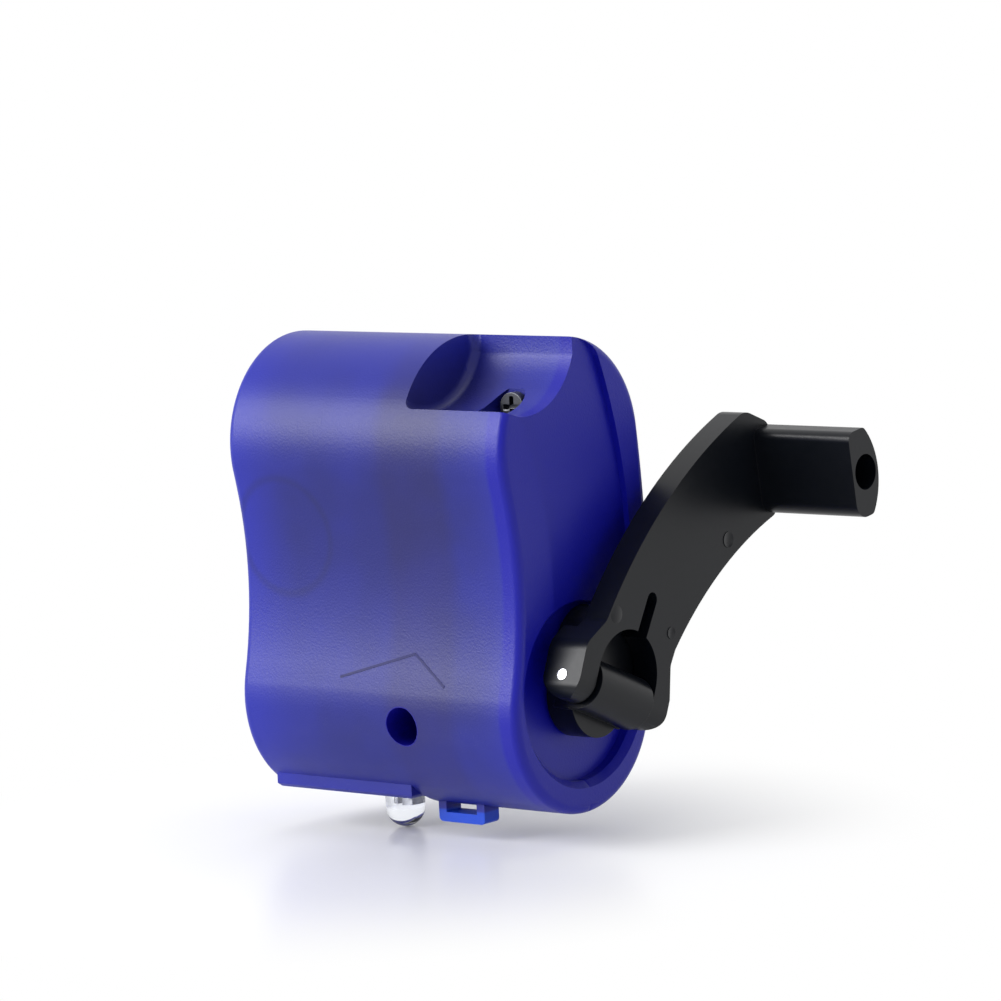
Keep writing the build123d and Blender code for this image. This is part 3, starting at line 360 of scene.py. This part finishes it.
@dataclass(frozen=True)
class FrostedPlastic(Finish):
    """Translucent ABS from a spark-eroded mould: light enters it and comes back blue.

    The soft dark shapes of the works and of a ring are painted shade, the deeper blue of the crank
    face is partly its thick wall and partly painted shade, and the brighter blue of the screw
    well, pad and strap loop is painted light, all painted on by object coordinates. All lengths
    are in millimetres.
    """

    transmission: float = 0.3
    ior: float = 1.45
    # painted shade of the works, reaching down to the bottom:
    # left, right, low and high ends of the dark area, and its soft edge
    painted_shade: str = "#1E2150"
    painted_shade_share: float = 0.62
    least_painted_shade: float = 0.55
    cloud_roughness: float = 0.5
    cloud_range: tuple[float, float] = (0.3, 0.7)
    works_mm: tuple[float, float, float, float] = (5.0, 40.0, -27.0, 27.0)
    soft_mm: float = 5.0
    # painted shade of the gear plates: a warmer dark band between two stations along X
    plates_shade: str = "#2A2440"
    plates_mm: tuple[float, float] = (24.0, 34.0)
    plates_soft_mm: float = 1.5
    plates_share: float = 0.3
    # painted shade of a ring behind the grip side: X, Z and radius
    cap_mm: tuple[float, float, float] = (7.5, 5.0, 7.2)
    rim_in_mm: float = 0.8
    rim_out_mm: float = 0.9
    ring_shade_share: float = 0.3
    # the crank face: deep blue from this station on, partly for its thick end wall and partly as
    # painted shade
    deep: str = "#0D10A6"
    face_mm: float = 41.7
    face_soft_mm: float = 0.8
    # painted light in the screw well on the grip side, a saturated blue: X, Z and radius
    well_painted_light: str = "#14119A"
    well_mm: tuple[float, float, float] = (25.9, -17.4, 2.45)
    well_soft_mm: float = 0.1
    grip_mm: float = -3.0
    grip_soft_mm: float = 1.0
    # painted light: the pad (X, Z) and the strap loop (Z), narrow parts that let more light
    # through, glow a brighter blue
    painted_glow: str = "#1B4FD6"
    pad_mm: tuple[float, float] = (23.5, -28.1)
    pad_soft_mm: float = 0.3
    loop_mm: float = -29.0
    loop_soft_mm: tuple[float, float] = (0.1, 0.3)

    def ramp(self, tree: bpy.types.NodeTree, value: Socket, start: float, end: float) -> Socket:
        """Makes a soft step along one direction.

        Args:
            tree: the material's nodes.
            value: a length in metres.
            start: where the step is 0, in millimetres.
            end: where the step is 1, in millimetres.

        Returns:
            A socket that runs from 0 to 1.
        """
        step = add_node(
            tree, "ShaderNodeMapRange", {"interpolation_type": "SMOOTHSTEP"},
            Value=value, From_Min=start * MM, From_Max=end * MM,
        )
        return step.outputs[0]

    def lay(self, tree: bpy.types.NodeTree, mask: Socket, under: Socket, over: str) -> Socket:
        """Lays one colour over another where the mask is 1.

        Args:
            tree: the material's nodes.
            mask: how much of the upper colour shows.
            under: the colour below.
            over: the upper colour as sRGB hex.

        Returns:
            The mixed colour.
        """
        mix = add_node(
            tree, "ShaderNodeMix", {"data_type": "RGBA"}, i0=mask, i6=under, i7=srgb(over)
        )
        return mix.outputs[2]

    def times(self, tree: bpy.types.NodeTree, *factors: Socket | float) -> Socket:
        """Multiplies masks with each other.

        Args:
            tree: the material's nodes.
            *factors: masks, and plain numbers after the first.

        Returns:
            Their product.
        """
        product = factors[0]
        for factor in factors[1:]:
            node = add_node(
                tree, "ShaderNodeMath", {"operation": "MULTIPLY"}, i0=product, i1=factor
            )
            product = node.outputs[0]
        return product

    def reach(
        self, tree: bpy.types.NodeTree, x: Socket, z: Socket, centre_x: float, centre_z: float
    ) -> Socket:
        """Measures the distance from a line along Y.

        Args:
            tree: the material's nodes.
            x: the X coordinate.
            z: the Z coordinate.
            centre_x: the line's X, in millimetres.
            centre_z: the line's Z, in millimetres.

        Returns:
            The distance in metres.
        """
        flat = add_node(tree, "ShaderNodeCombineXYZ", {}, X=x, Z=z)
        away = add_node(
            tree, "ShaderNodeVectorMath", {"operation": "DISTANCE"},
            i0=flat.outputs[0], i1=(centre_x * MM, 0.0, centre_z * MM),
        )
        return away.outputs["Value"]

    def extend(self, tree: bpy.types.NodeTree, shader: bpy.types.Node) -> None:
        """Lets light through the wall, and paints on it shade and light: the shade of the works
        and a ring, the crank face's deeper blue, and light in the screw well, pad and strap loop.

        Args:
            tree: the material's nodes.
            shader: the main shader.
        """
        shader.inputs["Transmission Weight"].default_value = self.transmission
        shader.inputs["IOR"].default_value = self.ior
        place = add_node(tree, "ShaderNodeTexCoord", {}).outputs["Object"]
        axes = add_node(tree, "ShaderNodeSeparateXYZ", {}, Vector=place)
        x, y, z = (axes.outputs[name] for name in "XYZ")
        grip = self.ramp(
            tree, y, self.grip_mm + self.grip_soft_mm, self.grip_mm - self.grip_soft_mm
        )
        colour = shader.inputs["Base Color"].links[0].from_socket
        # painted shade of the works and of a ring behind the grip side
        colour = self.paint_works_shade(tree, colour, place, x, z)
        colour = self.paint_ring_shade(tree, colour, x, z, grip)
        # the crank face's deep blue: partly its thick end wall, partly painted shade
        face = self.ramp(tree, x, self.face_mm - self.face_soft_mm, self.face_mm)
        colour = self.lay(tree, face, colour, self.deep)
        # painted light in the screw well, then on the pad and strap loop
        colour = self.paint_well_light(tree, colour, x, z, grip)
        colour = self.paint_thin_glow(tree, colour, x, z)
        tree.links.new(colour, shader.inputs["Base Color"])

    def paint_works_shade(
        self, tree: bpy.types.NodeTree, colour: Socket, place: Socket, x: Socket, z: Socket
    ) -> Socket:
        """Paints shade: the cloudy dark area of the works and the band of the gear plates.

        Args:
            tree: the material's nodes.
            colour: the colour so far.
            place: object coordinates.
            x: the X coordinate.
            z: the Z coordinate.

        Returns:
            The new colour.
        """
        left, right, low, high = self.works_mm
        soft = self.soft_mm
        works = self.times(
            tree,
            self.ramp(tree, x, left - soft, left + soft),
            self.ramp(tree, x, right + soft, right - soft),
            self.ramp(tree, z, low - soft, low + soft),
            self.ramp(tree, z, high + soft, high - soft),
        )
        cloud = add_node(
            tree, "ShaderNodeTexNoise", {}, Vector=place, Scale=PER_METRE / self.blotch_mm,
            Detail=BLOTCH_DETAIL, Roughness=self.cloud_roughness,
        )
        shade_patches = add_node(
            tree, "ShaderNodeMapRange", {"interpolation_type": "SMOOTHSTEP"},
            Value=cloud.outputs["Fac"], From_Min=self.cloud_range[0], From_Max=self.cloud_range[1],
            To_Min=self.least_painted_shade * self.painted_shade_share, To_Max=self.painted_shade_share,
        )
        colour = self.lay(
            tree, self.times(tree, works, shade_patches.outputs[0]), colour, self.painted_shade
        )
        first, last = self.plates_mm
        edge = self.plates_soft_mm
        plates = self.times(
            tree,
            works,
            self.ramp(tree, x, first - edge, first + edge),
            self.ramp(tree, x, last + edge, last - edge),
            self.plates_share,
        )
        return self.lay(tree, plates, colour, self.plates_shade)

    def paint_ring_shade(
        self, tree: bpy.types.NodeTree, colour: Socket, x: Socket, z: Socket, grip: Socket
    ) -> Socket:
        """Paints shade: a faint ring behind the grip side.

        Args:
            tree: the material's nodes.
            colour: the colour so far.
            x: the X coordinate.
            z: the Z coordinate.
            grip: 1 on the grip side, 0 on the back.

        Returns:
            The new colour.
        """
        cap_x, cap_z, radius = self.cap_mm
        away = self.reach(tree, x, z, cap_x, cap_z)
        ring_shade = self.times(
            tree,
            self.ramp(tree, away, radius - self.rim_in_mm, radius),
            self.ramp(tree, away, radius + self.rim_out_mm, radius),
            grip,
            self.ring_shade_share,
        )
        return self.lay(tree, ring_shade, colour, self.painted_shade)

    def paint_well_light(
        self, tree: bpy.types.NodeTree, colour: Socket, x: Socket, z: Socket, grip: Socket
    ) -> Socket:
        """Paints light on the wall of the screw well: a saturated blue for light that comes in
        through the boss.

        Args:
            tree: the material's nodes.
            colour: the colour so far.
            x: the X coordinate.
            z: the Z coordinate.
            grip: 1 on the grip side, 0 on the back.

        Returns:
            The new colour.
        """
        well_x, well_z, radius = self.well_mm
        away = self.reach(tree, x, z, well_x, well_z)
        well = self.ramp(tree, away, radius + self.well_soft_mm, radius)
        return self.lay(tree, self.times(tree, well, grip), colour, self.well_painted_light)

    def paint_thin_glow(
        self, tree: bpy.types.NodeTree, colour: Socket, x: Socket, z: Socket
    ) -> Socket:
        """Paints light: the pad and strap loop, whose narrow walls let more light through, glow a
        brighter blue.

        Args:
            tree: the material's nodes.
            colour: the colour so far.
            x: the X coordinate.
            z: the Z coordinate.

        Returns:
            The new colour.
        """
        pad_x, pad_z = self.pad_mm
        soft = self.pad_soft_mm
        pad = self.times(
            tree,
            self.ramp(tree, x, pad_x + soft, pad_x - soft),
            self.ramp(tree, z, pad_z + soft, pad_z - soft),
        )
        above, below = self.loop_soft_mm
        loop = self.ramp(tree, z, self.loop_mm + above, self.loop_mm - below)
        painted_glow = add_node(tree, "ShaderNodeMath", {"operation": "MAXIMUM"}, i0=pad, i1=loop)
        return self.lay(tree, painted_glow.outputs[0], colour, self.painted_glow)


@dataclass(frozen=True)
class ClearResin(Finish):
    """Water-clear cast epoxy, as a lamp's lens."""

    transmission: float = 1.0
    ior: float = 1.5

    def extend(self, tree: bpy.types.NodeTree, shader: bpy.types.Node) -> None:
        """Makes the body clear.

        Args:
            tree: the material's nodes.
            shader: the main shader.
        """
        shader.inputs["Transmission Weight"].default_value = self.transmission
        shader.inputs["IOR"].default_value = self.ior


# frosted blue ABS: a fine spark-eroded grain gives a lavender bloom over a deep blue body
SHELL = FrostedPlastic(
    "frosted_abs_blue", "#262FB0", "#2027A0", roughness=0.38, grain_mm=0.24, bump_mm=0.05,
    blotch_mm=17.0, spread=0.14, specular=0.32,
)
# black ABS straight from a polished mould: soft broad highlights, faint flow marks
CRANK = Finish(
    "satin_abs_black", "#05080E", "#090C13", roughness=0.32, grain_mm=0.9, bump_mm=0.004,
    blotch_mm=7.0, spread=0.10, specular=0.24,
)
# painted shade of a fine crease line: the shell's plastic as a slim navy stroke
CREASE_SHADE = Finish(
    "frosted_abs_shade", "#0C0E4C", "#101358", roughness=0.5, grain_mm=0.45, bump_mm=0.006,
    blotch_mm=6.0, specular=0.3,
)
# drawn steel: bright, with small sharp highlights
PIN = Finish(
    "drawn_steel_bright", "#D8D8DA", "#C4C5C8", roughness=0.2, metallic=1.0,
    grain=Grain.BRUSHED, grain_mm=0.15, bump_mm=0.002, blotch_mm=3.0, spread=0.12,
)
# dull zinc: a dark grey head that barely catches the light in its well
SCREW = Finish(
    "zinc_plated_screw", "#5C5D61", "#46474B", roughness=0.34, metallic=1.0,
    grain=Grain.TURNED, grain_mm=0.2, bump_mm=0.004, blotch_mm=2.0, spread=0.16,
)
# rolled and plated sheet: even grey with a soft streaky sheen
CAN = Finish(
    "zinc_plated_sheet", "#A2A4A8", "#8C8E94", roughness=0.36, metallic=1.0,
    grain=Grain.BRUSHED, grain_mm=0.3, bump_mm=0.003, blotch_mm=6.0, spread=0.14,
)
# undyed nylon: waxy off-white
NYLON = Finish(
    "natural_nylon", "#E2DECF", "#D4CEBB", roughness=0.45, grain_mm=0.5, bump_mm=0.006,
    blotch_mm=5.0,
)
# filled nylon: matt charcoal
BLACK_NYLON = Finish(
    "filled_nylon_black", "#1E1F22", "#27282B", roughness=0.55, grain_mm=0.3, blotch_mm=4.0,
)
# turned brass: warm gold with fine rings
BRASS = Finish(
    "turned_brass", "#C9A24E", "#AE8638", roughness=0.3, metallic=1.0,
    grain=Grain.TURNED, grain_mm=0.2, bump_mm=0.003, blotch_mm=3.0, spread=0.14,
)
# lacquered winding wire: red-brown metal in close parallel turns
COPPER = Finish(
    "enamelled_wire", "#B4622C", "#8E431B", roughness=0.32, metallic=1.0,
    grain=Grain.WOUND, grain_mm=0.3, bump_mm=0.08, blotch_mm=3.0, spread=0.12,
)
# sintered ferrite: dry dark grey, slightly gritty
FERRITE = Finish(
    "sintered_ferrite", "#2A2A2D", "#1D1D20", roughness=0.62, grain_mm=0.15, bump_mm=0.01,
    blotch_mm=3.0,
)
# pressed graphite: near black with a faint grey sheen
CARBON = Finish(
    "pressed_graphite", "#26262A", "#17171A", roughness=0.5, grain_mm=0.1, bump_mm=0.006,
    blotch_mm=1.5,
)
# solder mask over glass weave: a half-glossy green
BOARD = Finish(
    "glass_laminate_green", "#1E6A3C", "#175431", roughness=0.35, grain_mm=0.35, bump_mm=0.006,
    blotch_mm=4.0,
)
# nickel plate: clean pale metal, brighter than the zinc
PLATED = Finish(
    "nickel_plated_sheet", "#BFC0C2", "#A9AAAE", roughness=0.26, metallic=1.0,
    grain=Grain.BRUSHED, grain_mm=0.25, bump_mm=0.002, blotch_mm=4.0, spread=0.12,
)
# heat-shrunk sleeve: tight glossy dark blue
SLEEVE = Finish(
    "shrink_sleeve_blue", "#16204C", "#101838", roughness=0.3, grain_mm=0.5, bump_mm=0.004,
    blotch_mm=3.0,
)
# soft insulation: a dull red
WIRE = Finish(
    "pvc_wire_red", "#A51A1A", "#861313", roughness=0.42, grain_mm=0.4, bump_mm=0.004,
    blotch_mm=2.5,
)
# cast epoxy: glass-clear, with bright bent reflections in its dome
LENS = ClearResin(
    "clear_epoxy_lens", "#F6F8FC", "#EEF2FA", roughness=0.04, grain_mm=2.0, bump_mm=0.001,
    blotch_mm=2.0, spread=0.02,
)

INNER_FINISH = {
    "drive_shaft": PIN, "drive_bushing": BRASS, "drive_gear": NYLON,
    "thrust_washer": BLACK_NYLON, "first_axle": PIN, "first_gear": NYLON, "second_axle": PIN,
    "second_gear": NYLON, "rear_gear_plate": CAN, "front_gear_plate": CAN,
    "plate_posts": BRASS, "plate_screws": SCREW, "generator_can": CAN,
    "generator_cap": BLACK_NYLON, "generator_magnets": FERRITE, "generator_bearings": BRASS,
    "rotor_shaft": PIN, "rotor_core": CAN, "rotor_windings": COPPER, "commutator": COPPER,
    "rotor_pinion": BRASS, "brushes": CARBON, "generator_terminals": BRASS,
    "circuit_board": BOARD, "socket_shell": PLATED, "socket_tongue": NYLON,
    "socket_contacts": BRASS, "capacitor": SLEEVE, "diodes": BLACK_NYLON,
    "regulator": BLACK_NYLON, "generator_leads": WIRE, "led_leads": PLATED,
}


# ---------------------------------------------------------------- sub-assemblies
@dataclass
class Works:
    """Everything inside the casing, which its frosted walls let through only as faint shades."""

    made: dict[Finish, bpy.types.Material] = field(default_factory=dict)

    def material(self, finish: Finish) -> bpy.types.Material:
        """Gives the material of a finish, made once.

        Args:
            finish: the finish.

        Returns:
            Its material.
        """
        if finish not in self.made:
            self.made[finish] = finish.build()
        return self.made[finish]

    def build(self) -> None:
        """Gives every inner CAD node its finish."""
        for node, finish in INNER_FINISH.items():
            paint(frame["nodes"][node], self.material(finish))
            LOG.info("finish %s on %s", finish.name, node)


@dataclass(frozen=True)
class Post:
    """One of the two metal pieces inside the lamp, in millimetres."""

    name: str
    side: int  # 1 or -1: which way it stands from the lamp's middle along Y
    wide: float
    deep: float
    tall: float


@dataclass
class Casing:
    """The two frosted shells, their screws and the lamp. All lengths are in millimetres."""

    works: Works
    edge_mm: float = 0.12
    edge_degrees: float = 30.0
    screw_edge_mm: float = 0.08
    lamp_degrees: float = 50.0
    crease_mm: tuple[tuple[float, float], ...] = ((16.2, -11.9), (27.8, -8.5), (32.7, -12.2))
    crease_width_mm: float = 0.3
    crease_rise_mm: float = 0.03
    crease_start_y_mm: float = -20.0
    crease_cuts: int = 24
    lamp_mm: tuple[float, float] = (14.5, 0.0)
    lamp_top_mm: float = -25.5
    post_offset_mm: float = 1.1
    post_rim_mm: float = 0.15
    post_hollow_mm: float = 0.35
    post_edge_mm: float = 0.06
    posts: tuple[Post, ...] = (
        Post("lamp_cup", 1, 1.1, 1.7, 4.7),
        Post("lamp_post", -1, 0.5, 0.8, 4.3),
    )

    def build(self) -> None:
        """Skins and dresses the outer pieces of the casing."""
        shell = self.works.material(SHELL)
        for node in ("front_shell", "back_shell"):
            dress(skin(node, bevel_mm=self.edge_mm, angle=self.edge_degrees), shell, node, True)
        screws = skin("case_screws", bevel_mm=self.screw_edge_mm)
        dress(screws, self.works.material(SCREW), "case_screws", True)
        dress(skin("led", angle=self.lamp_degrees), self.works.material(LENS), "led", True)
        self.crease(bpy.data.objects["front_shell_skin"])
        for post in self.posts:
            self.lamp_piece(post)

    def crease(self, shell: bpy.types.Object) -> None:
        """Lays the fine raised chevron on the grip side, coloured navy as painted shade of the
        crease line.

        Args:
            shell: the surface that it follows.
        """
        arms = []
        for (x0, z0), (x1, z1) in zip(self.crease_mm, self.crease_mm[1:]):
            deselect()
            middle = ((x0 + x1) / 2 * MM, self.crease_start_y_mm * MM, (z0 + z1) / 2 * MM)
            bpy.ops.mesh.primitive_plane_add(
                size=1.0, location=middle,
                rotation=(math.pi / 2, -math.atan2(z1 - z0, x1 - x0), 0.0),
            )
            arm = bpy.context.object
            arm.scale = (math.hypot(x1 - x0, z1 - z0) * MM, self.crease_width_mm * MM, 1.0)
            settle(arm)
            bpy.ops.object.mode_set(mode="EDIT")
            bpy.ops.mesh.select_all(action="SELECT")
            bpy.ops.mesh.subdivide(number_cuts=self.crease_cuts)
            bpy.ops.object.mode_set(mode="OBJECT")
            arms.append(arm)
        deselect()
        for arm in arms:
            arm.select_set(True)
        bpy.context.view_layer.objects.active = arms[0]
        bpy.ops.object.join()
        line = bpy.context.object
        line.name = "front_crease"
        rise = self.crease_rise_mm * MM
        apply_modifier(
            line, "SHRINKWRAP", target=shell, wrap_method="PROJECT", use_project_y=True,
            use_positive_direction=True, use_negative_direction=False, offset=rise,
        )
        apply_modifier(line, "SOLIDIFY", thickness=2 * rise, offset=0.0)
        smooth(line)
        dress(line, self.works.material(CREASE_SHADE), "front_shell", False)

    def lamp_piece(self, post: Post) -> None:
        """Stands one hollow-ended metal piece inside the lamp's clear body.

        Args:
            post: its name and size.
        """
        x, y = self.lamp_mm
        deselect()
        bpy.ops.mesh.primitive_cube_add(
            size=1.0,
            location=(
                x * MM,
                (y + post.side * self.post_offset_mm) * MM,
                (self.lamp_top_mm - post.tall / 2) * MM,
            ),
        )
        piece = bpy.context.object
        piece.name = post.name
        piece.scale = (post.wide * MM, post.deep * MM, post.tall * MM)
        settle(piece)
        bpy.ops.object.mode_set(mode="EDIT")
        bpy.ops.mesh.select_all(action="DESELECT")
        bpy.ops.object.mode_set(mode="OBJECT")
        for face in piece.data.polygons:
            face.select = face.normal.z < -FACING
        bpy.ops.object.mode_set(mode="EDIT")
        bpy.ops.mesh.inset(thickness=self.post_rim_mm * MM)
        bpy.ops.transform.translate(value=(0, 0, self.post_hollow_mm * MM))
        bpy.ops.object.mode_set(mode="OBJECT")
        apply_modifier(
            piece, "BEVEL", width=self.post_edge_mm * MM, segments=2, limit_method="ANGLE"
        )
        smooth(piece)
        dress(piece, self.works.material(PLATED), "led_leads", False)


@dataclass
class Crank:
    """The black folding crank with its bright hinge pin. All lengths are in millimetres."""

    works: Works
    edge_mm: float = 0.2
    edge_steps: int = 3
    pin_edge_mm: float = 0.12
    face_mm: float = 50.0
    lean: float = 23.5  # degrees, from upright towards +Y
    axis_z_mm: float = -14.0
    # ejector marks: place across and along the arm, and radius
    marks_mm: tuple[tuple[float, float, float], ...] = (
        (-4.6, 8.7, 1.1), (6.6, 9.4, 0.75), (14.1, 23.3, 1.0),
    )
    mark_sides: int = 40
    mark_depth_mm: float = 0.2
    mark_rim_mm: float = 0.16
    mark_sink_mm: float = 0.09
    mark_edge_mm: float = 0.03

    def build(self) -> None:
        """Skins and dresses the crank's pieces."""
        black = self.works.material(CRANK)
        for node in ("crank_arm", "crank_hub"):
            piece = skin(node, bevel_mm=self.edge_mm, segments=self.edge_steps)
            dress(piece, black, node, True)
        pin = skin("hinge_pin", bevel_mm=self.pin_edge_mm)
        dress(pin, self.works.material(PIN), "hinge_pin", True)
        for number, (across, along, radius) in enumerate(self.marks_mm, 1):
            self.mark(f"ejector_mark_{number}", across, along, radius, black)

    def place(self, x: float, across: float, along: float) -> Vector:
        """Finds a point of the crank plane in the shared frame.

        Args:
            x: station along the crank axis, in millimetres.
            across: distance along the hinge pin.
            along: distance up the crank's root.

        Returns:
            The point in metres.
        """
        lean = math.radians(self.lean)
        y = across * math.cos(lean) + along * math.sin(lean)
        z = self.axis_z_mm - across * math.sin(lean) + along * math.cos(lean)
        return Vector((x, y, z)) * MM

    def mark(
        self, name: str, across: float, along: float, radius: float, black: bpy.types.Material
    ) -> None:
        """Makes one shallow mark that an ejector pin of the mould left on the arm.

        Known fault: the face is picked before face select mode is on. So the first mark is inset
        with the whole disc selected and stays a flat disc, while the later ones become dished
        rings, because the mode stays on.

        Args:
            name: the piece's name.
            across: its place along the hinge pin.
            along: its place up the crank's root.
            radius: its radius in millimetres.
            black: the arm's material.
        """
        deselect()
        bpy.ops.mesh.primitive_cylinder_add(
            vertices=self.mark_sides, radius=radius * MM, depth=self.mark_depth_mm * MM,
            location=self.place(self.face_mm, across, along), rotation=(0, math.pi / 2, 0),
        )
        ring = bpy.context.object
        ring.name = name
        settle(ring)
        for face in ring.data.polygons:
            face.select = face.normal.x > FACING
        bpy.ops.object.mode_set(mode="EDIT")
        bpy.ops.mesh.select_mode(type="FACE")
        bpy.ops.mesh.inset(thickness=self.mark_rim_mm * MM)
        bpy.ops.transform.translate(value=(-self.mark_sink_mm * MM, 0, 0))
        bpy.ops.object.mode_set(mode="OBJECT")
        apply_modifier(
            ring, "BEVEL", width=self.mark_edge_mm * MM, segments=2, limit_method="ANGLE"
        )
        smooth(ring)
        dress(ring, black, "crank_arm", False)


# ---------------------------------------------------------------- studio
@dataclass(frozen=True)
class SoftBox:
    """A square lamp, placed in metres to the camera's right, up and back of the object."""

    name: str
    right: float
    up: float
    back: float
    size: float
    watts: float


@dataclass
class Studio:
    """Floor, lamps, world and camera, none of it part of the object."""

    # the photograph's camera, from a fit: angles in degrees, focal length and aim in pixels
    centre_mm: tuple[float, float, float] = (22.0, 0.3, 0.0)
    azimuth: float = 40.04
    elevation: float = 7.89
    roll: float = -3.05
    distance_mm: float = 616.1
    focal_px: float = 4996.7
    frame_px: float = 1001.0
    aim_px: tuple[float, float] = (60.0, 67.15)
    sensor_mm: float = 36.0
    clip: tuple[float, float] = (0.05, 20.0)
    boxes: tuple[SoftBox, ...] = (
        SoftBox("key", -0.74, 0.26, 0.28, 0.5, 8.0),
        SoftBox("top", 0.0, 0.7, 0.05, 0.8, 2.0),
        SoftBox("fill", 0.6, 0.15, 0.3, 0.5, 0.6),
    )
    sky: str = "#F4F6FA"
    sky_strength: float = 0.42
    ground: str = "#F7F7F9"
    ground_roughness: float = 0.28
    ground_size: float = 8.0
    floor_z_mm: float = -32.95
    fade_centre: tuple[float, float] = (0.02, -0.01)
    fade: tuple[float, float] = (0.025, 0.07)

    def axes(self) -> tuple[Vector, Vector, Vector]:
        """Finds the photograph's view axes.

        Returns:
            Unit vectors to the camera's right, up and back.
        """
        a, e, r = (math.radians(v) for v in (self.azimuth, self.elevation, self.roll))
        back = Vector((math.sin(a) * math.cos(e), -math.cos(a) * math.cos(e), math.sin(e)))
        level = Vector((math.cos(a), math.sin(a), 0))
        rise = back.cross(level)
        right = level * math.cos(r) + rise * math.sin(r)
        up = rise * math.cos(r) - level * math.sin(r)
        return right, up, back

    def camera(self) -> None:
        """Sets the camera where the photograph was taken from."""
        right, up, back = self.axes()
        data = bpy.data.cameras.new("camera")
        data.sensor_width = self.sensor_mm
        data.lens = self.focal_px * data.sensor_width / self.frame_px
        data.clip_start, data.clip_end = self.clip
        lens = bpy.data.objects.new("camera", data)
        bpy.context.collection.objects.link(lens)
        aside, above = (px / self.focal_px for px in self.aim_px)
        aim = back - right * aside - up * above
        back_axis = aim.normalized()
        right_axis = (right - back_axis * right.dot(back_axis)).normalized()
        up_axis = back_axis.cross(right_axis)
        turn = Matrix((right_axis, up_axis, back_axis)).transposed().to_4x4()
        place = Vector(self.centre_mm) * MM + back * self.distance_mm * MM
        lens.matrix_world = Matrix.Translation(place) @ turn
        bpy.context.scene.camera = lens

    def lamps(self) -> None:
        """Hangs the soft boxes round the object, each facing it."""
        right, up, back = self.axes()
        centre = Vector(self.centre_mm) * MM
        for box in self.boxes:
            data = bpy.data.lights.new(box.name, "AREA")
            data.shape, data.size, data.energy = "SQUARE", box.size, box.watts
            data.color = srgb(WHITE)[:3]
            lamp = bpy.data.objects.new(box.name, data)
            bpy.context.collection.objects.link(lamp)
            place = centre + right * box.right + up * box.up + back * box.back
            turn = (place - centre).to_track_quat("Z", "Y").to_matrix().to_4x4()
            lamp.matrix_world = Matrix.Translation(place) @ turn

    def world(self) -> None:
        """Sets soft even surroundings that show as plain white behind the object."""
        world = bpy.data.worlds.new("surroundings")
        tree = empty_tree(world)
        seen = self.seen(tree)
        light = add_node(
            tree, "ShaderNodeBackground", {}, Color=srgb(self.sky), Strength=self.sky_strength
        )
        white = add_node(tree, "ShaderNodeBackground", {}, Color=srgb(WHITE), Strength=1.0)
        mixed = add_node(
            tree, "ShaderNodeMixShader", {}, Fac=seen, i1=light.outputs[0], i2=white.outputs[0]
        )
        add_node(tree, "ShaderNodeOutputWorld", {}, Surface=mixed.outputs[0])
        bpy.context.scene.world = world

    def seen(self, tree: bpy.types.NodeTree) -> Socket:
        """Tells rays that look at the surroundings from rays that only light the object.

        Args:
            tree: the nodes of the world or of the floor.

        Returns:
            A socket that is 1 for rays that look, straight or by gloss or glass.
        """
        path = add_node(tree, "ShaderNodeLightPath", {})
        gloss = add_node(
            tree, "ShaderNodeMath", {"operation": "MAXIMUM"},
            i0=path.outputs["Is Camera Ray"], i1=path.outputs["Is Glossy Ray"],
        )
        through = add_node(
            tree, "ShaderNodeMath", {"operation": "MAXIMUM"},
            i0=gloss.outputs[0], i1=path.outputs["Is Transmission Ray"],
        )
        return through.outputs[0]

    def floor(self) -> None:
        """Lays a pale floor that fades into the white surroundings away from the object."""
        deselect()
        height = self.floor_z_mm * MM
        bpy.ops.mesh.primitive_plane_add(size=self.ground_size, location=(0, 0, height))
        ground = bpy.context.object
        ground.name = "floor"
        settle(ground)
        material = bpy.data.materials.new("pale_floor")
        tree = empty_tree(material)
        place = add_node(tree, "ShaderNodeTexCoord", {})
        away = add_node(
            tree, "ShaderNodeVectorMath", {"operation": "DISTANCE"},
            i0=place.outputs["Object"], i1=(*self.fade_centre, height),
        )
        fade = add_node(
            tree, "ShaderNodeMapRange", {"interpolation_type": "SMOOTHSTEP"},
            Value=away.outputs["Value"], From_Min=self.fade[0], From_Max=self.fade[1],
        )
        hidden = add_node(
            tree, "ShaderNodeMath", {"operation": "MULTIPLY"},
            i0=fade.outputs[0], i1=self.seen(tree),
        )
        near = add_node(
            tree, "ShaderNodeBsdfPrincipled", {},
            Base_Color=srgb(self.ground), Roughness=self.ground_roughness,
        )
        far = add_node(tree, "ShaderNodeEmission", {}, Color=srgb(WHITE), Strength=1.0)
        mixed = add_node(
            tree, "ShaderNodeMixShader", {},
            Fac=hidden.outputs[0], i1=near.outputs[0], i2=far.outputs[0],
        )
        add_node(tree, "ShaderNodeOutputMaterial", {}, Surface=mixed.outputs[0])
        paint(ground, material)

    def build(self) -> None:
        """Sets up the whole studio."""
        bpy.context.scene.view_settings.view_transform = "Standard"
        self.camera()
        self.lamps()
        self.world()
        self.floor()


def main() -> None:
    """Builds the studio and every sub-assembly."""
    logging.basicConfig(level=logging.INFO, format="%(name)s: %(message)s")
    Studio().build()
    works = Works()
    works.build()
    Casing(works).build()
    Crank(works).build()


if __name__ == "__main__":
    main()
